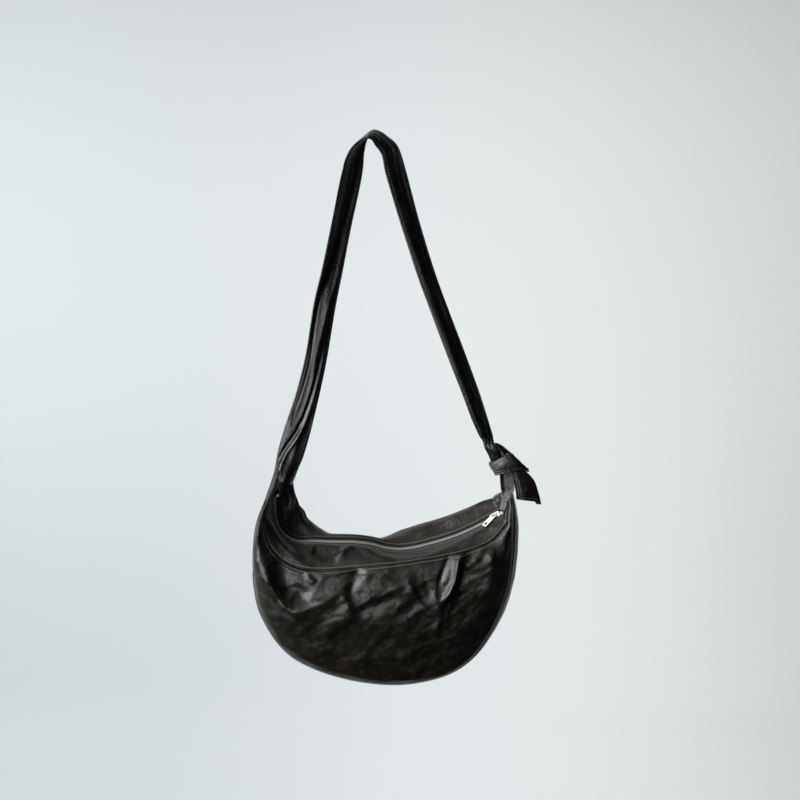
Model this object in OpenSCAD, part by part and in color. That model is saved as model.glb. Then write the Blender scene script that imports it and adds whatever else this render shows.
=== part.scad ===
// Half moon shoulder bag in soft leather, hanging by its strap: a crescent body with a zip along
// its slanted top, a lining, and a long strap that is tied to a short tab at the right corner.
// The origin is the underside of the strap where it hangs. +X right, +Y away, +Z up.

/* [Body] */
// Width of the bag body
body_w = 344; // [260:2:420]
// Height from the neck seam to the bottom of the body
body_h = 290; // [240:2:340]
// Distance from the hang point down to the neck seam
strap_drop = 414; // [300:2:600]
// How far the front top seam stands in front of the zip
front_d = 32; // [20:1:45]
// How far the back top seam stands behind the zip
back_d = 29; // [20:1:45]
// Half thickness of the body where it narrows to its two ends
end_d = 10; // [7:0.5:12]
// Width of the gusset along the bottom
gusset_w = 54; // [36:1:80]
// How far the gusset stands out beyond its two seams
gusset_crown = 10; // [4:1:16]
// How far the front panel bellies out
front_belly = 17; // [6:1:26]
// How far the back panel bellies out
back_belly = 11; // [4:1:20]
// How far the front top seam lies below the zip
front_drop = 16; // [10:1:24]
// How far the back top seam lies above the zip
back_rise = 22; // [10:1:30]

/* [Materials] */
// Thickness of the leather
leather_t = 1.4; // [1:0.1:2]
// Thickness of the lining cloth
lining_t = 0.5; // [0.3:0.1:0.8]
// Space between the leather and the lining
lining_gap = 0.3; // [0.2:0.1:0.6]

/* [Zip] */
// Slant of the zip towards the front, in degrees
zip_slant = 25; // [15:1:35]
// Half of the mouth between the edges of the two facings
mouth_half = 6.5; // [6:0.1:8]
// Half width of the zip, from its middle to the outer edge of a tape
tape_half = 13; // [12:0.5:16]
// Thickness of the zip tape
tape_t = 0.8; // [0.6:0.1:0.9]
// Distance from one tooth to the next on the same tape
tooth_pitch = 2.6; // [2.4:0.1:3.2]
// Length of one tooth along the zip
tooth_l = 1.1; // [0.9:0.05:1.15]
// Height of one tooth across the tape's face
tooth_h = 2.4; // [2:0.1:2.6]
// How far a tooth reaches from the middle of the zip over its own tape
tooth_leg = 2.6; // [2.2:0.1:3]
// How far a tooth reaches past the middle of the zip
tooth_nose = 0.9; // [0.7:0.1:1.1]
// Clearance between the teeth and the slider's plates
slider_gap = 0.45; // [0.3:0.05:0.6]
// Thickness of each slider plate
slider_plate_t = 1.1; // [0.9:0.1:1.4]
// Length of the slider
slider_l = 13; // [11:0.5:15]
// Width of the slider at its wide end
slider_w = 9.6; // [9:0.2:11]
// Width of the bridge that holds the pull
bridge_w = 1.8; // [1.4:0.1:2]
// Length of the pull
pull_l = 22; // [18:1:28]
// Width of the pull
pull_w = 7.2; // [6.8:0.1:9]
// Thickness of the pull
pull_t = 1.3; // [1:0.1:1.6]
// How far the pull lies askew on its bridge, in degrees
pull_askew = 30; // [10:1:32]

/* [Strap] */
// Width of the strap
strap_w = 34; // [28:1:40]
// Thickness of each of the strap's two layers
strap_layer_t = 1.5; // [1.2:0.1:2]
// How far the strap's edges droop where it hangs
apex_droop = 8; // [4:1:12]
// Width of the knot
knot_w = 50; // [42:1:58]
// Height of the band that wraps the knot
knot_band = 28; // [24:1:34]
// Depth of the knot from front to back
knot_d = 34; // [28:1:42]
// Length of the strap's tail below the knot
tail_l = 50; // [40:1:66]
// Width of the strap's tail
tail_w = 29; // [24:1:34]
// Width of the corner tab where it enters the bag
tab_w = 11; // [9:0.5:13]
// Thickness of the corner tab
tab_t = 3; // [2.4:0.2:3.6]

/* [Hidden] */
$fn = 32;

leather = "#3b352e";
leather_edge = "#2c2824";
cloth = "#23211f";
tape_colour = "#34342f";
metal = "#c9c9c6";

// The zip's path: arcs of [radius as a share of body_w, turn in degrees], from the neck to the
// right corner, always turning upwards. The third arc is the long one that the slider runs on.
path_arc_shares = [[0.254, 39.4], [0.122, 68], [1.05, 42], [0.07, 95]];
path_start = [-0.326 * body_w, -strap_drop];
path_heading = -121.4;
main_arc = 2;
degrees_per_radian = 180 / PI;

function arc_r(k) = path_arc_shares[k][0] * body_w;
function arc_turn(k) = path_arc_shares[k][1];
function arc_length(k) = arc_r(k) * arc_turn(k) / degrees_per_radian;
function sum_to(list, n) = n <= 0 ? 0 : list[n - 1] + sum_to(list, n - 1);
arc_lengths = [for (k = [0 : len(path_arc_shares) - 1]) arc_length(k)];
path_length = sum_to(arc_lengths, len(arc_lengths));
main_start = sum_to(arc_lengths, main_arc);
main_end = sum_to(arc_lengths, main_arc + 1);

// [x, z, heading] after moving a distance along an arc of radius r, turning left.
function moved(from, r, d) =
    let (h2 = from[2] + d / r * degrees_per_radian)
    [from[0] + r * (sin(h2) - sin(from[2])), from[1] + r * (cos(from[2]) - cos(h2)), h2];
function arc_from(k) = k == 0 ? [path_start[0], path_start[1], path_heading]
                              : moved(arc_from(k - 1), arc_r(k - 1), arc_lengths[k - 1]);
arc_starts = [for (k = [0 : len(path_arc_shares) - 1]) arc_from(k)];
function path_at(s, k = 0) =
    (s <= arc_lengths[k] || k == len(arc_lengths) - 1) ? moved(arc_starts[k], arc_r(k), s)
                                                       : path_at(s - arc_lengths[k], k + 1);

// Stations from the neck to the right corner. Columns: place along the zip's path, drop of the
// front seam, rise of the back seam, and the crown of the gusset, each as a share of its size.
station_shares = [
    [0.000, 0.20, 0.55, 0.3], [0.067, 0.36, 0.80, 0.3], [0.121, 0.54, 1.00, 0.35],
    [0.187, 0.75, 1.05, 0.6], [0.256, 1.00, 0.45, 0.7], [0.365, 1.45, 0.10, 0.5],
    [0.478, 0.98, 0.05, 0.35], [0.584, 0.85, 0.31, 0.35], [0.694, 0.95, 0.79, 0.5],
    [0.804, 1.12, 1.00, 0.9], [main_end / path_length, 0.50, 1.00, 0.55],
    [1.000, 0.20, 0.35, 0.3]];
// The outline of the body, from the neck round the bottom to the right corner, as shares of
// body_w from its middle and of body_h down from the neck seam.
outline_shares = [
    [-0.405, 0.000], [-0.440, 0.125], [-0.484, 0.275], [-0.494, 0.480], [-0.463, 0.665],
    [-0.351, 0.856], [-0.124, 0.965], [0.136, 0.974], [0.342, 0.858], [0.465, 0.598],
    [0.504, 0.301], [0.500, 0.110]];
body_middle_share = 0.04;
dome_power = 0.7;
steps = 33;
facing_flat_share = 0.5;
facing_edge_share = 0.3;
facing_crown_share = 0.05;
panel_spans = 6;
gusset_spans = 4;

function spline(p0, p1, p2, p3, u) =
    0.5 * (2 * p1 + (p2 - p0) * u + (2 * p0 - 5 * p1 + 4 * p2 - p3) * u * u
           + (3 * p1 - p0 - 3 * p2 + p3) * u * u * u);
// A smooth curve through a list of values, at t from 0 to 1.
function along(list, t) =
    let (n = len(list) - 1, k = min(floor(t * n), n - 1))
    spline(list[max(k - 1, 0)], list[k], list[k + 1], list[min(k + 2, n)], t * n - k);
function mix(a, b, u) = a + (b - a) * u;
function unit(v) = v / norm(v);
function dome(t) = pow(max(sin(180 * t), 0), dome_power);

// Unit directions at a heading: along the zip, up across it, and across the slanted zip.
function heading_dir(h) = [cos(h), 0, sin(h)];
function rise_dir(h) = [-sin(h), 0, cos(h)];
function across_dir(h) = rise_dir(h) * sin(zip_slant) + [0, cos(zip_slant), 0];
function normal_dir(h) = rise_dir(h) * cos(zip_slant) - [0, sin(zip_slant), 0];
function mouth(t) = let (p = path_at(along(station_shares, t)[0] * path_length)) [p[0], 0, p[1]];
function mouth_heading(t) = path_at(along(station_shares, t)[0] * path_length)[2];
face_offset = tape_t / 2 + leather_t;

function front_seam(t) =
    let (s = along(station_shares, t), h = mouth_heading(t))
    mouth(t) - rise_dir(h) * s[1] * front_drop - [0, mix(end_d, front_d, dome(t)), 0];
function back_seam(t) =
    let (s = along(station_shares, t), h = mouth_heading(t))
    mouth(t) + rise_dir(h) * s[2] * back_rise + [0, mix(end_d, back_d, dome(t)), 0];
function outline(t) =
    let (s = along(outline_shares, t))
    [(s[0] + body_middle_share) * body_w, 0, -strap_drop - s[1] * body_h];
function gusset_seam(t, side) =
    let (o = outline(t), inwards = unit(mouth(t) - o))
    o + inwards * along(station_shares, t)[3] * gusset_crown
      + [0, side * mix(end_d, gusset_w / 2, dome(t)), 0];

// One half of the top, from the facing's edge at the mouth out to its seam.
function facing_points(t, side) =
    let (m = mouth(t), h = mouth_heading(t), seam = side < 0 ? front_seam(t) : back_seam(t),
         reach = norm(seam - m),
         flat = min(tape_half, facing_flat_share * reach),
         edge = min(mouth_half, facing_edge_share * reach),
         lift = normal_dir(h) * face_offset,
         p1 = m + across_dir(h) * side * flat + lift)
    [m + across_dir(h) * side * edge + lift, p1,
     mix(p1, seam, 0.5) + normal_dir(h) * facing_crown_share * reach, seam];
function panel_points(t, side) =
    let (top = side < 0 ? front_seam(t) : back_seam(t), low = gusset_seam(t, side),
         belly = side < 0 ? front_belly : back_belly)
    [for (j = [1 : panel_spans])
        let (u = j / panel_spans)
        mix(top, low, u) + [0, side * belly * dome(t) * sin(180 * pow(u, 0.8)), 0]];
function gusset_points(t) =
    let (o = outline(t), a = gusset_seam(t, -1), b = gusset_seam(t, 1),
         out = o - (a + b) / 2)
    [for (j = [1 : gusset_spans])
        let (u = j / gusset_spans) mix(a, b, u) + out * sin(180 * u)];
function reversed(list) = [for (k = [len(list) - 1 : -1 : 0]) list[k]];

// One whole section of the bag at t, from the front facing's edge down the front, under the
// gusset and up the back to the back facing's edge.
function section(t) =
    let (back_up = reversed(panel_points(t, 1)), back_top = reversed(facing_points(t, 1)))
    [each facing_points(t, -1), each panel_points(t, -1), each gusset_points(t),
     each [for (j = [1 : panel_spans - 1]) back_up[j]], each back_top];
sections = [for (i = [0 : steps]) section(i / steps)];
facing_last = 3;
panel_last = facing_last + panel_spans;
gusset_last = panel_last + gusset_spans;
back_last = gusset_last + panel_spans;
section_last = back_last + facing_last;
gusset_middle = panel_last + gusset_spans / 2;

// The direction into the bag at each point, long enough that walls keep their thickness at a seam.
mitre_limit = 0.55;
function inward(i, j) =
    let (run = sections[min(i + 1, steps)][j] - sections[max(i - 1, 0)][j],
         here = sections[i][j],
         before = j > 0 ? here - sections[i][j - 1] : sections[i][j + 1] - here,
         after = j < section_last ? sections[i][j + 1] - here : before,
         a = unit(cross(run, before)), b = unit(cross(run, after)), n = unit(a + b))
    n / max(n * a, mitre_limit);
inwards = [for (i = [0 : steps]) [for (j = [0 : section_last]) inward(i, j)]];

// A closed sheet between two grids of points: top[i][j] outside and low[i][j] inside.
module sheet(top, low) {
    rows = len(top);
    cols = len(top[0]);
    count = rows * cols;
    function at(i, j, under) = under * count + i * cols + j;
    points = [each [for (row = top) each row], each [for (row = low) each row]];
    quads = [
        for (i = [0 : rows - 2], j = [0 : cols - 2]) each [
            [at(i, j, 0), at(i, j + 1, 0), at(i + 1, j + 1, 0), at(i + 1, j, 0)],
            [at(i, j, 1), at(i + 1, j, 1), at(i + 1, j + 1, 1), at(i, j + 1, 1)]],
        for (i = [0 : rows - 2]) each [
            [at(i, 0, 0), at(i + 1, 0, 0), at(i + 1, 0, 1), at(i, 0, 1)],
            [at(i, cols - 1, 0), at(i, cols - 1, 1), at(i + 1, cols - 1, 1), at(i + 1, cols - 1, 0)]],
        for (j = [0 : cols - 2]) each [
            [at(0, j, 0), at(0, j, 1), at(0, j + 1, 1), at(0, j + 1, 0)],
            [at(rows - 1, j, 0), at(rows - 1, j + 1, 0), at(rows - 1, j + 1, 1), at(rows - 1, j, 1)]]];
    polyhedron(points, [for (q = quads) each [[q[0], q[2], q[1]], [q[0], q[3], q[2]]]]);
}

// The part of the bag's wall from one section point to another, between two depths. The ends
// leave out as many stations at the neck and at the corner.
module wall(from, to, depth_out, depth_in, ends = 0) {
    function grid(depth) =
        [for (i = [ends : steps - ends])
            [for (j = [from : to]) sections[i][j] + inwards[i][j] * depth]];
    sheet(grid(depth_out), grid(depth_in));
}

module front_facing() { color(leather) wall(0, facing_last, 0, leather_t); }

// The front panel's main folds, as ridges. Each holds its line, from the middle of the body as
// shares of body_w and down from the neck seam as shares of body_h, and then its height and its
// reach to either side as shares of front_belly.
fold_shares = [
    [[[0.370, 0.221], [0.306, 0.324], [0.265, 0.383], [0.254, 0.438], [0.230, 0.503], [0.204, 0.562],
      [0.190, 0.603]], 0.44, 0.62],
    [[[-0.444, 0.372], [-0.424, 0.466], [-0.392, 0.538], [-0.348, 0.593], [-0.299, 0.597],
      [-0.226, 0.566], [-0.150, 0.531], [-0.107, 0.510]], 0.40, 0.70],
    [[[-0.275, 0.466], [-0.226, 0.476], [-0.165, 0.452], [-0.107, 0.424], [-0.046, 0.421]], 0.18, 0.40],
    [[[0.402, 0.297], [0.408, 0.369], [0.393, 0.441], [0.405, 0.514]], 0.18, 0.45],
    [[[0.137, 0.459], [0.149, 0.514], [0.172, 0.603], [0.210, 0.672]], 0.12, 0.35]];
fold_edge_share = 0.2;
fold_finer = 2;
// How much of a span the panel leaves free at its two seams, and how much of a span and of a
// station at the right corner, where the facing turns sharply.
seam_share = 0.002;
corner_seam_share = 0.1;
corner_share = 0.45;
function seam_room(i) = i > steps - 2 ? corner_seam_share : seam_share;

// How far a point lies from a stretch of a line, and from a whole line.
function from_stretch(p, a, b) =
    let (run = b - a, u = (p - a) * run / (run * run)) norm(p - a - run * max(0, min(1, u)));
function from_line(p, line) =
    min([for (k = [0 : len(line) - 2]) from_stretch(p, line[k], line[k + 1])]);
function fold_place(q) = [(q[0] + body_middle_share) * body_w, -strap_drop - q[1] * body_h];
fold_lines = [for (f = fold_shares) [for (q = f[0]) fold_place(q)]];
function fold_lift(p) =
    sum_to([for (k = [0 : len(fold_shares) - 1])
        let (d = from_line([p[0], p[2]], fold_lines[k]) / (fold_shares[k][2] * front_belly))
        fold_shares[k][1] * front_belly * exp(-d * d)], len(fold_shares));

// A point between the sections' own points, at fractions of a station and of a span.
function between(table, i, j) =
    let (a = min(floor(i), steps - 1), b = min(floor(j), section_last - 1))
    mix(mix(table[a][b], table[a][b + 1], j - b),
        mix(table[a + 1][b], table[a + 1][b + 1], j - b), i - a);
// The panel's edges stay on its neighbours' edges, and the folds fade out towards them.
function folded_point(i, j, depth) =
    let (u = (j - facing_last) / panel_spans, v = i / steps,
         fade = min(1, u / fold_edge_share, (1 - u) / fold_edge_share, v / fold_edge_share,
                    (1 - v) / fold_edge_share),
         p = between(sections, i, j))
    p + between(inwards, i, j) * depth - [0, max(0, fade) * fold_lift(p), 0];
module front_panel() {
    function grid(depth) =
        [for (i = [0 : fold_finer * steps])
            [for (j = [0 : fold_finer * panel_spans])
                let (station = min(i / fold_finer, steps - corner_share), free = seam_room(station),
                     span = max(free, min(panel_spans - seam_share, j / fold_finer)))
                folded_point(station, facing_last + span, depth)]];
    color(leather) sheet(grid(0), grid(leather_t));
}
module gusset() { color(leather) wall(panel_last, gusset_last, 0, leather_t); }
module back_panel() { color(leather) wall(gusset_last, back_last, 0, leather_t); }
module back_facing() { color(leather) wall(back_last, section_last, 0, leather_t); }

lining_out = leather_t + lining_gap;
lining_ends = 5;
module front_lining() {
    color(cloth) wall(1, gusset_middle, lining_out, lining_out + lining_t, lining_ends);
}
module back_lining() {
    color(cloth)
        wall(gusset_middle, section_last - 1, lining_out, lining_out + lining_t, lining_ends);
}

// Zip. Its tapes lie under the facings, with the teeth clamped on their inner edges.
chain_start = 0.1 * path_length;
slider_at = main_end - 0.5 * slider_l;
tape_end = main_end + slider_l;
tape_start = chain_start - slider_l;
tape_bead = tooth_nose + 0.4 * tooth_l;
tape_cut_share = 0.88;
nose_share = 0.36;
tape_steps = 2 * steps;
function tape_row(t, side) =
    let (m = mouth(t), h = mouth_heading(t),
         seam = side < 0 ? front_seam(t) : back_seam(t),
         reach = tape_cut_share * min(tape_half, facing_flat_share * norm(seam - m)))
    [for (u = side < 0 ? [reach, tape_bead] : [tape_bead, reach])
        m + across_dir(h) * side * u];
function tape_place(t) = along(station_shares, t)[0] * path_length;
tape_rows = [for (i = [0 : tape_steps])
    if (tape_place(i / tape_steps) > tape_start && tape_place(i / tape_steps) < tape_end)
        i / tape_steps];
module zip_tape(side) {
    function grid(n) =
        [for (t = tape_rows)
            let (h = mouth_heading(t))
            [for (p = tape_row(t, side)) p + normal_dir(h) * n * tape_t / 2]];
    color(tape_colour) sheet(grid(-1), grid(1));
}
module front_zip_tape() { zip_tape(-1); }
module back_zip_tape() { zip_tape(1); }

// Puts a piece on the zip at a distance along it: its x runs along the zip towards the right
// corner, its y across to the back and its z outwards.
module on_zip(s) {
    p = path_at(s);
    translate([p[0], 0, p[1]]) rotate([0, -p[2], 0]) rotate([zip_slant, 0, 0]) children();
}

// One tooth of the front tape: two legs that clamp the tape, and a nose that tapers to the point
// where it catches the teeth of the other tape.
module tooth() {
    rotate([90, 0, 90])
        translate([0, 0, -tooth_l / 2])
            linear_extrude(tooth_l)
                polygon([
                    [-tooth_leg, -tooth_h / 2], [tooth_nose, -tooth_h * nose_share],
                    [tooth_nose, tooth_h * nose_share], [-tooth_leg, tooth_h / 2],
                    [-tooth_leg, tape_t / 2], [-tape_bead, tape_t / 2],
                    [-tape_bead, -tape_t / 2], [-tooth_leg, -tape_t / 2]]);
}
chain_end = slider_at + 0.1 * slider_l;
tooth_count = floor((chain_end - chain_start) / tooth_pitch);
module front_zip_teeth() {
    color(metal)
        for (k = [0 : tooth_count - 1])
            on_zip(chain_start + k * tooth_pitch) tooth();
}
module back_zip_teeth() {
    color(metal)
        for (k = [0 : tooth_count - 1])
            on_zip(chain_start + (k + 0.5) * tooth_pitch) mirror([0, 1, 0]) tooth();
}

// The stops: one block on each tape past the slider, and one across both at the far end.
stop_l = 1.2 * tooth_pitch;
module stop_block(from, to) {
    difference() {
        translate([-stop_l / 2, from, -tooth_h / 2]) cube([stop_l, to - from, tooth_h]);
        translate([-stop_l, -tooth_leg - tooth_l, -tape_t / 2])
            cube([2 * stop_l, tooth_leg + tooth_l - tape_bead, tape_t]);
        translate([-stop_l, tape_bead, -tape_t / 2])
            cube([2 * stop_l, tooth_leg + tooth_l - tape_bead, tape_t]);
    }
}
module zip_top_stops() {
    color(metal)
        on_zip(slider_at + slider_l / 2 + 0.7 * stop_l) {
            stop_block(-tooth_leg, -tooth_nose / 2);
            stop_block(tooth_nose / 2, tooth_leg);
        }
}
module zip_bottom_stop() {
    color(metal) on_zip(chain_start - stop_l) stop_block(-tooth_leg, tooth_leg);
}

// Slider: two plates joined by a wedge at the wide end, with flanges that guide the teeth and a
// bridge on top for the pull.
plate_z = tooth_h / 2 + slider_gap;
flange_at = tooth_leg + 0.8 * slider_gap;
slot_half = tape_t / 2 + 0.9 * slider_gap;
wedge_shares = [[0.12, 0], [0.3, 0.12], [0.46, 0.08], [0.46, -0.08], [0.3, -0.12]];
module slider_outline() {
    half = slider_w / 2;
    polygon([
        [-slider_l / 2, -0.78 * half], [-slider_l / 2, 0.78 * half],
        [-0.42 * slider_l, 0.9 * half], [-0.05 * slider_l, 0.92 * half],
        [0.2 * slider_l, half], [0.36 * slider_l, half], [slider_l / 2, 0.7 * half],
        [0.46 * slider_l, 0.25 * half], [0.46 * slider_l, -0.25 * half],
        [slider_l / 2, -0.7 * half], [0.36 * slider_l, -half], [0.2 * slider_l, -half],
        [-0.05 * slider_l, -0.92 * half], [-0.42 * slider_l, -0.9 * half]]);
}
module slider_flange() {
    intersection() {
        linear_extrude(plate_z + slider_plate_t - slot_half) slider_outline();
        for (side = [-1, 1])
            translate([-0.42 * slider_l, side < 0 ? -slider_w / 2 : flange_at, 0])
                cube([0.78 * slider_l, slider_w / 2 - flange_at, plate_z + slider_plate_t]);
    }
}
bridge_foot = 0.27 * slider_l;
bridge_t = 0.6 * bridge_w;
pull_z = plate_z + slider_plate_t + pull_t / 2 + slider_gap / 2;
bridge_inner = pull_t + 1.4 * slider_gap;
module slider_bridge() {
    translate([0, bridge_w / 2, plate_z + slider_plate_t / 2])
        rotate([90, 0, 0])
            linear_extrude(bridge_w)
                difference() {
                    bridge_arch(bridge_foot, bridge_inner + slider_plate_t / 2 + bridge_t);
                    translate([0, -bridge_t])
                        bridge_arch(bridge_foot - bridge_t,
                                    bridge_inner + slider_plate_t / 2 + bridge_t);
                }
}
module bridge_arch(half, height) {
    corner = bridge_t;
    translate([-half, 0]) square([2 * half, height - corner]);
    translate([-half + corner, 0]) square([2 * (half - corner), height]);
    for (side = [-1, 1]) translate([side * (half - corner), height - corner]) circle(corner);
}
module zip_slider() {
    color(metal)
        on_zip(slider_at) {
            translate([0, 0, plate_z]) linear_extrude(slider_plate_t) slider_outline();
            translate([0, 0, -plate_z - slider_plate_t])
                linear_extrude(slider_plate_t) slider_outline();
            translate([0, 0, slot_half]) slider_flange();
            mirror([0, 0, 1]) translate([0, 0, slot_half]) slider_flange();
            translate([0, 0, -plate_z - slider_plate_t / 2])
                linear_extrude(2 * plate_z + slider_plate_t)
                    polygon([for (p = wedge_shares) [p[0] * slider_l, p[1] * slider_w]]);
            slider_bridge();
        }
}

// Pull: a flat bar with an eye round the bridge and a window near its end. The eye's bar is
// round and lies under the bridge, on the axis that the pull swings about.
eye_l = 0.175 * pull_l;
eye_w = pull_w - 2 * 0.12 * pull_w;
window_l = 0.2 * pull_l;
window_w = 0.5 * pull_w;
module pull_blank() {
    corner = 0.18 * pull_w;
    translate([-pull_l, -pull_w / 2 + corner]) square([pull_l, pull_w - 2 * corner]);
    translate([-pull_l + corner, -pull_w / 2]) square([pull_l - 2 * corner, pull_w]);
    for (x = [-corner, corner - pull_l], y = [corner - pull_w / 2, pull_w / 2 - corner])
        translate([x, y]) circle(corner);
}
module zip_pull() {
    color(metal)
        on_zip(slider_at)
            translate([0, 0, pull_z])
                rotate([0, 0, pull_askew]) {
                    translate([0, 0, -pull_t / 2])
                        linear_extrude(pull_t)
                            difference() {
                                pull_blank();
                                translate([-eye_l - pull_t / 2, -eye_w / 2])
                                    square([eye_l + pull_t, eye_w]);
                                translate([-0.95 * pull_l + pull_t, -window_w / 2])
                                    square([window_l, window_w]);
                            }
                    rotate([90, 0, 0])
                        cylinder(r = pull_t / 2, h = eye_w + pull_t / 2, center = true);
                }
}

// A ribbon along a list of [centre, width, direction of its width, cup]. Its face is lifted from
// the centre line by lift_low to lift_top, and its edges fall back by the cup.
ribbon_shares = [-1, -0.55, 0, 0.55, 1];
function ribbon_grid(rows, lift) =
    [for (i = [0 : len(rows) - 1])
        let (run = unit(rows[min(i + 1, len(rows) - 1)][0] - rows[max(i - 1, 0)][0]),
             raw = rows[i][2], across = unit(raw - run * (raw * run)), out = cross(run, across))
        [for (q = ribbon_shares)
            rows[i][0] + across * q * rows[i][1] / 2 + out * (lift - rows[i][3] * q * q)]];
module ribbon(rows, lift_low, lift_top) {
    sheet(ribbon_grid(rows, lift_low), ribbon_grid(rows, lift_top));
}

// Strap. Each station holds x as a share of body_w, z as a share of strap_drop, the width as a
// share of strap_w, the turn of the width away from x in degrees, the droop of the edges, and
// the place towards the back as a share of strap_w where it isn't 0.
strap_station_shares = [
    [-0.330, -1.030, 0.48, 6, 0.05], [-0.326, -1.000, 0.58, 8, 0.05], [-0.317, -0.975, 0.80, 12, 0.1],
    [-0.307, -0.945, 0.93, 16, 0.2],
    [-0.293, -0.912, 1.00, 19, 0.2], [-0.264, -0.837, 1.00, 25, 0.2], [-0.239, -0.763, 1.00, 34, 0.2],
    [-0.208, -0.652, 1.00, 38, 0.2], [-0.178, -0.506, 1.00, 38, 0.2], [-0.149, -0.398, 1.00, 44, 0.2],
    [-0.113, -0.255, 1.00, 48, 0.2], [-0.076, -0.113, 1.00, 44, 0.2], [-0.057, -0.050, 1.00, 42, 0.3],
    [-0.040, -0.016, 1.00, 44, 0.6], [-0.018, -0.002, 1.00, 46, 0.9], [0.000, 0.000, 1.00, 48, 1.0],
    [0.020, -0.005, 1.00, 48, 0.9], [0.043, -0.022, 1.00, 48, 0.6], [0.062, -0.056, 1.00, 47, 0.3],
    [0.088, -0.113, 1.00, 46, 0.2], [0.137, -0.255, 1.00, 49, 0.2], [0.193, -0.398, 1.00, 51, 0.2],
    [0.241, -0.506, 1.00, 51, 0.2], [0.308, -0.652, 1.00, 51, 0.2], [0.360, -0.763, 0.95, 52, 0.2],
    [0.392, -0.837, 0.85, 50, 0.2], [0.416, -0.893, 0.62, 42, 0.1], [0.428, -0.925, 0.40, 30, 0.05, -0.08],
    [0.436, -0.945, 0.42, 12, 0.05, -0.18], [0.447, -0.973, 0.42, 0, 0.05, -0.2]];
strap_rows =
    [for (s = strap_station_shares)
        [[s[0] * body_w, (len(s) > 5 ? s[5] : 0) * strap_w, s[1] * strap_drop + strap_layer_t],
         s[2] * strap_w,
         [cos(s[3]), sin(s[3]), 0], s[4] * apex_droop]];
module strap_outer_layer() { color(leather) ribbon(strap_rows, 0, strap_layer_t); }
module strap_inner_layer() { color(leather_edge) ribbon(strap_rows, -strap_layer_t, 0); }

// Knot. Its places are shares of the knot's width, depth and band height from its centre, which
// lies above the bag's right corner.
knot_at = [0.513 * body_w, 0, -0.988 * strap_drop];
function knot_place(p) = knot_at + [p[0] * knot_w, p[1] * knot_d, p[2] * knot_band];
band_t = 2 * strap_layer_t;

// The band goes round the knot once. It is widest in front and behind, and folds to a point on
// the right. The shares give its height and the middle of it: all round, towards the left, and
// in front and behind.
band_height_shares = [0.42, 0.277, 0.60];
band_middle_shares = [-0.24, 0.084, 0.264];
band_row_shares = [-0.5, -0.25, 0, 0.25, 0.5];
band_bow = 0.25;
band_sides = 20;
function round_share(shares, a) = shares[0] - shares[1] * cos(a) + shares[2] * sin(a) * sin(a);
function band_row(a, shrink) =
    let (c = [(knot_w / 2 - shrink) * cos(a), (knot_d / 2 - shrink) * sin(a), 0])
    [for (q = band_row_shares)
        knot_at + c * (1 - band_bow * q * q)
        + [0, 0, knot_band * (round_share(band_middle_shares, a)
                              + q * round_share(band_height_shares, a))]];
module knot_band_wrap() {
    cols = len(band_row_shares);
    count = band_sides * cols;
    rows = [for (shrink = [0, band_t], k = [0 : band_sides - 1])
        band_row(360 * k / band_sides, shrink)];
    function at(k, j, under) = under * count + (k % band_sides) * cols + j;
    quads = [for (k = [0 : band_sides - 1]) each [
        for (j = [0 : cols - 2]) each [
            [at(k, j, 0), at(k, j + 1, 0), at(k + 1, j + 1, 0), at(k + 1, j, 0)],
            [at(k, j, 1), at(k + 1, j, 1), at(k + 1, j + 1, 1), at(k, j + 1, 1)]],
        [at(k, 0, 0), at(k + 1, 0, 0), at(k + 1, 0, 1), at(k, 0, 1)],
        [at(k, cols - 1, 0), at(k, cols - 1, 1), at(k + 1, cols - 1, 1), at(k + 1, cols - 1, 0)]]];
    color(leather)
        polyhedron([for (r = rows) each r],
                   [for (q = quads) each [[q[0], q[1], q[2]], [q[0], q[2], q[3]]]]);
}

// A rounded lump through rows of [place, half width, half depth], from the top down and all in
// knot shares.
lump_sides = 14;
module lump(rows) {
    n = len(rows);
    points = [for (r = rows, k = [0 : lump_sides - 1])
        let (a = 360 * k / lump_sides)
        knot_place(r[0]) + [r[1] * knot_w * cos(a), r[2] * knot_d * sin(a), 0]];
    faces = [
        for (i = [0 : n - 2], k = [0 : lump_sides - 1])
            let (a = i * lump_sides + k, b = i * lump_sides + (k + 1) % lump_sides)
            each [[a, b + lump_sides, a + lump_sides], [a, b, b + lump_sides]],
        [for (k = [lump_sides - 1 : -1 : 0]) k],
        [for (k = [0 : lump_sides - 1]) (n - 1) * lump_sides + k]];
    polyhedron(points, faces);
}
// The strap's folded turns inside the band, and the turn that rises above it.
core_row_shares = [
    [[-0.06, 0.09, 0.15], 0.20, 0.16], [[-0.06, 0.09, 0.05], 0.28, 0.22], [[-0.05, 0.09, -0.12], 0.31, 0.24],
    [[-0.05, 0.09, -0.30], 0.28, 0.22], [[-0.06, 0.08, -0.43], 0.22, 0.16]];
hump_row_shares = [
    [[-0.38, 0.12, 0.97], 0.06, 0.10], [[-0.30, 0.14, 0.80], 0.13, 0.16], [[-0.20, 0.13, 0.58], 0.18, 0.21],
    [[-0.11, 0.10, 0.36], 0.22, 0.23], [[-0.06, 0.09, 0.17], 0.22, 0.23]];
module knot_core() { color(leather_edge) lump(core_row_shares); }
module knot_hump() { color(leather) lump(hump_row_shares); }

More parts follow.
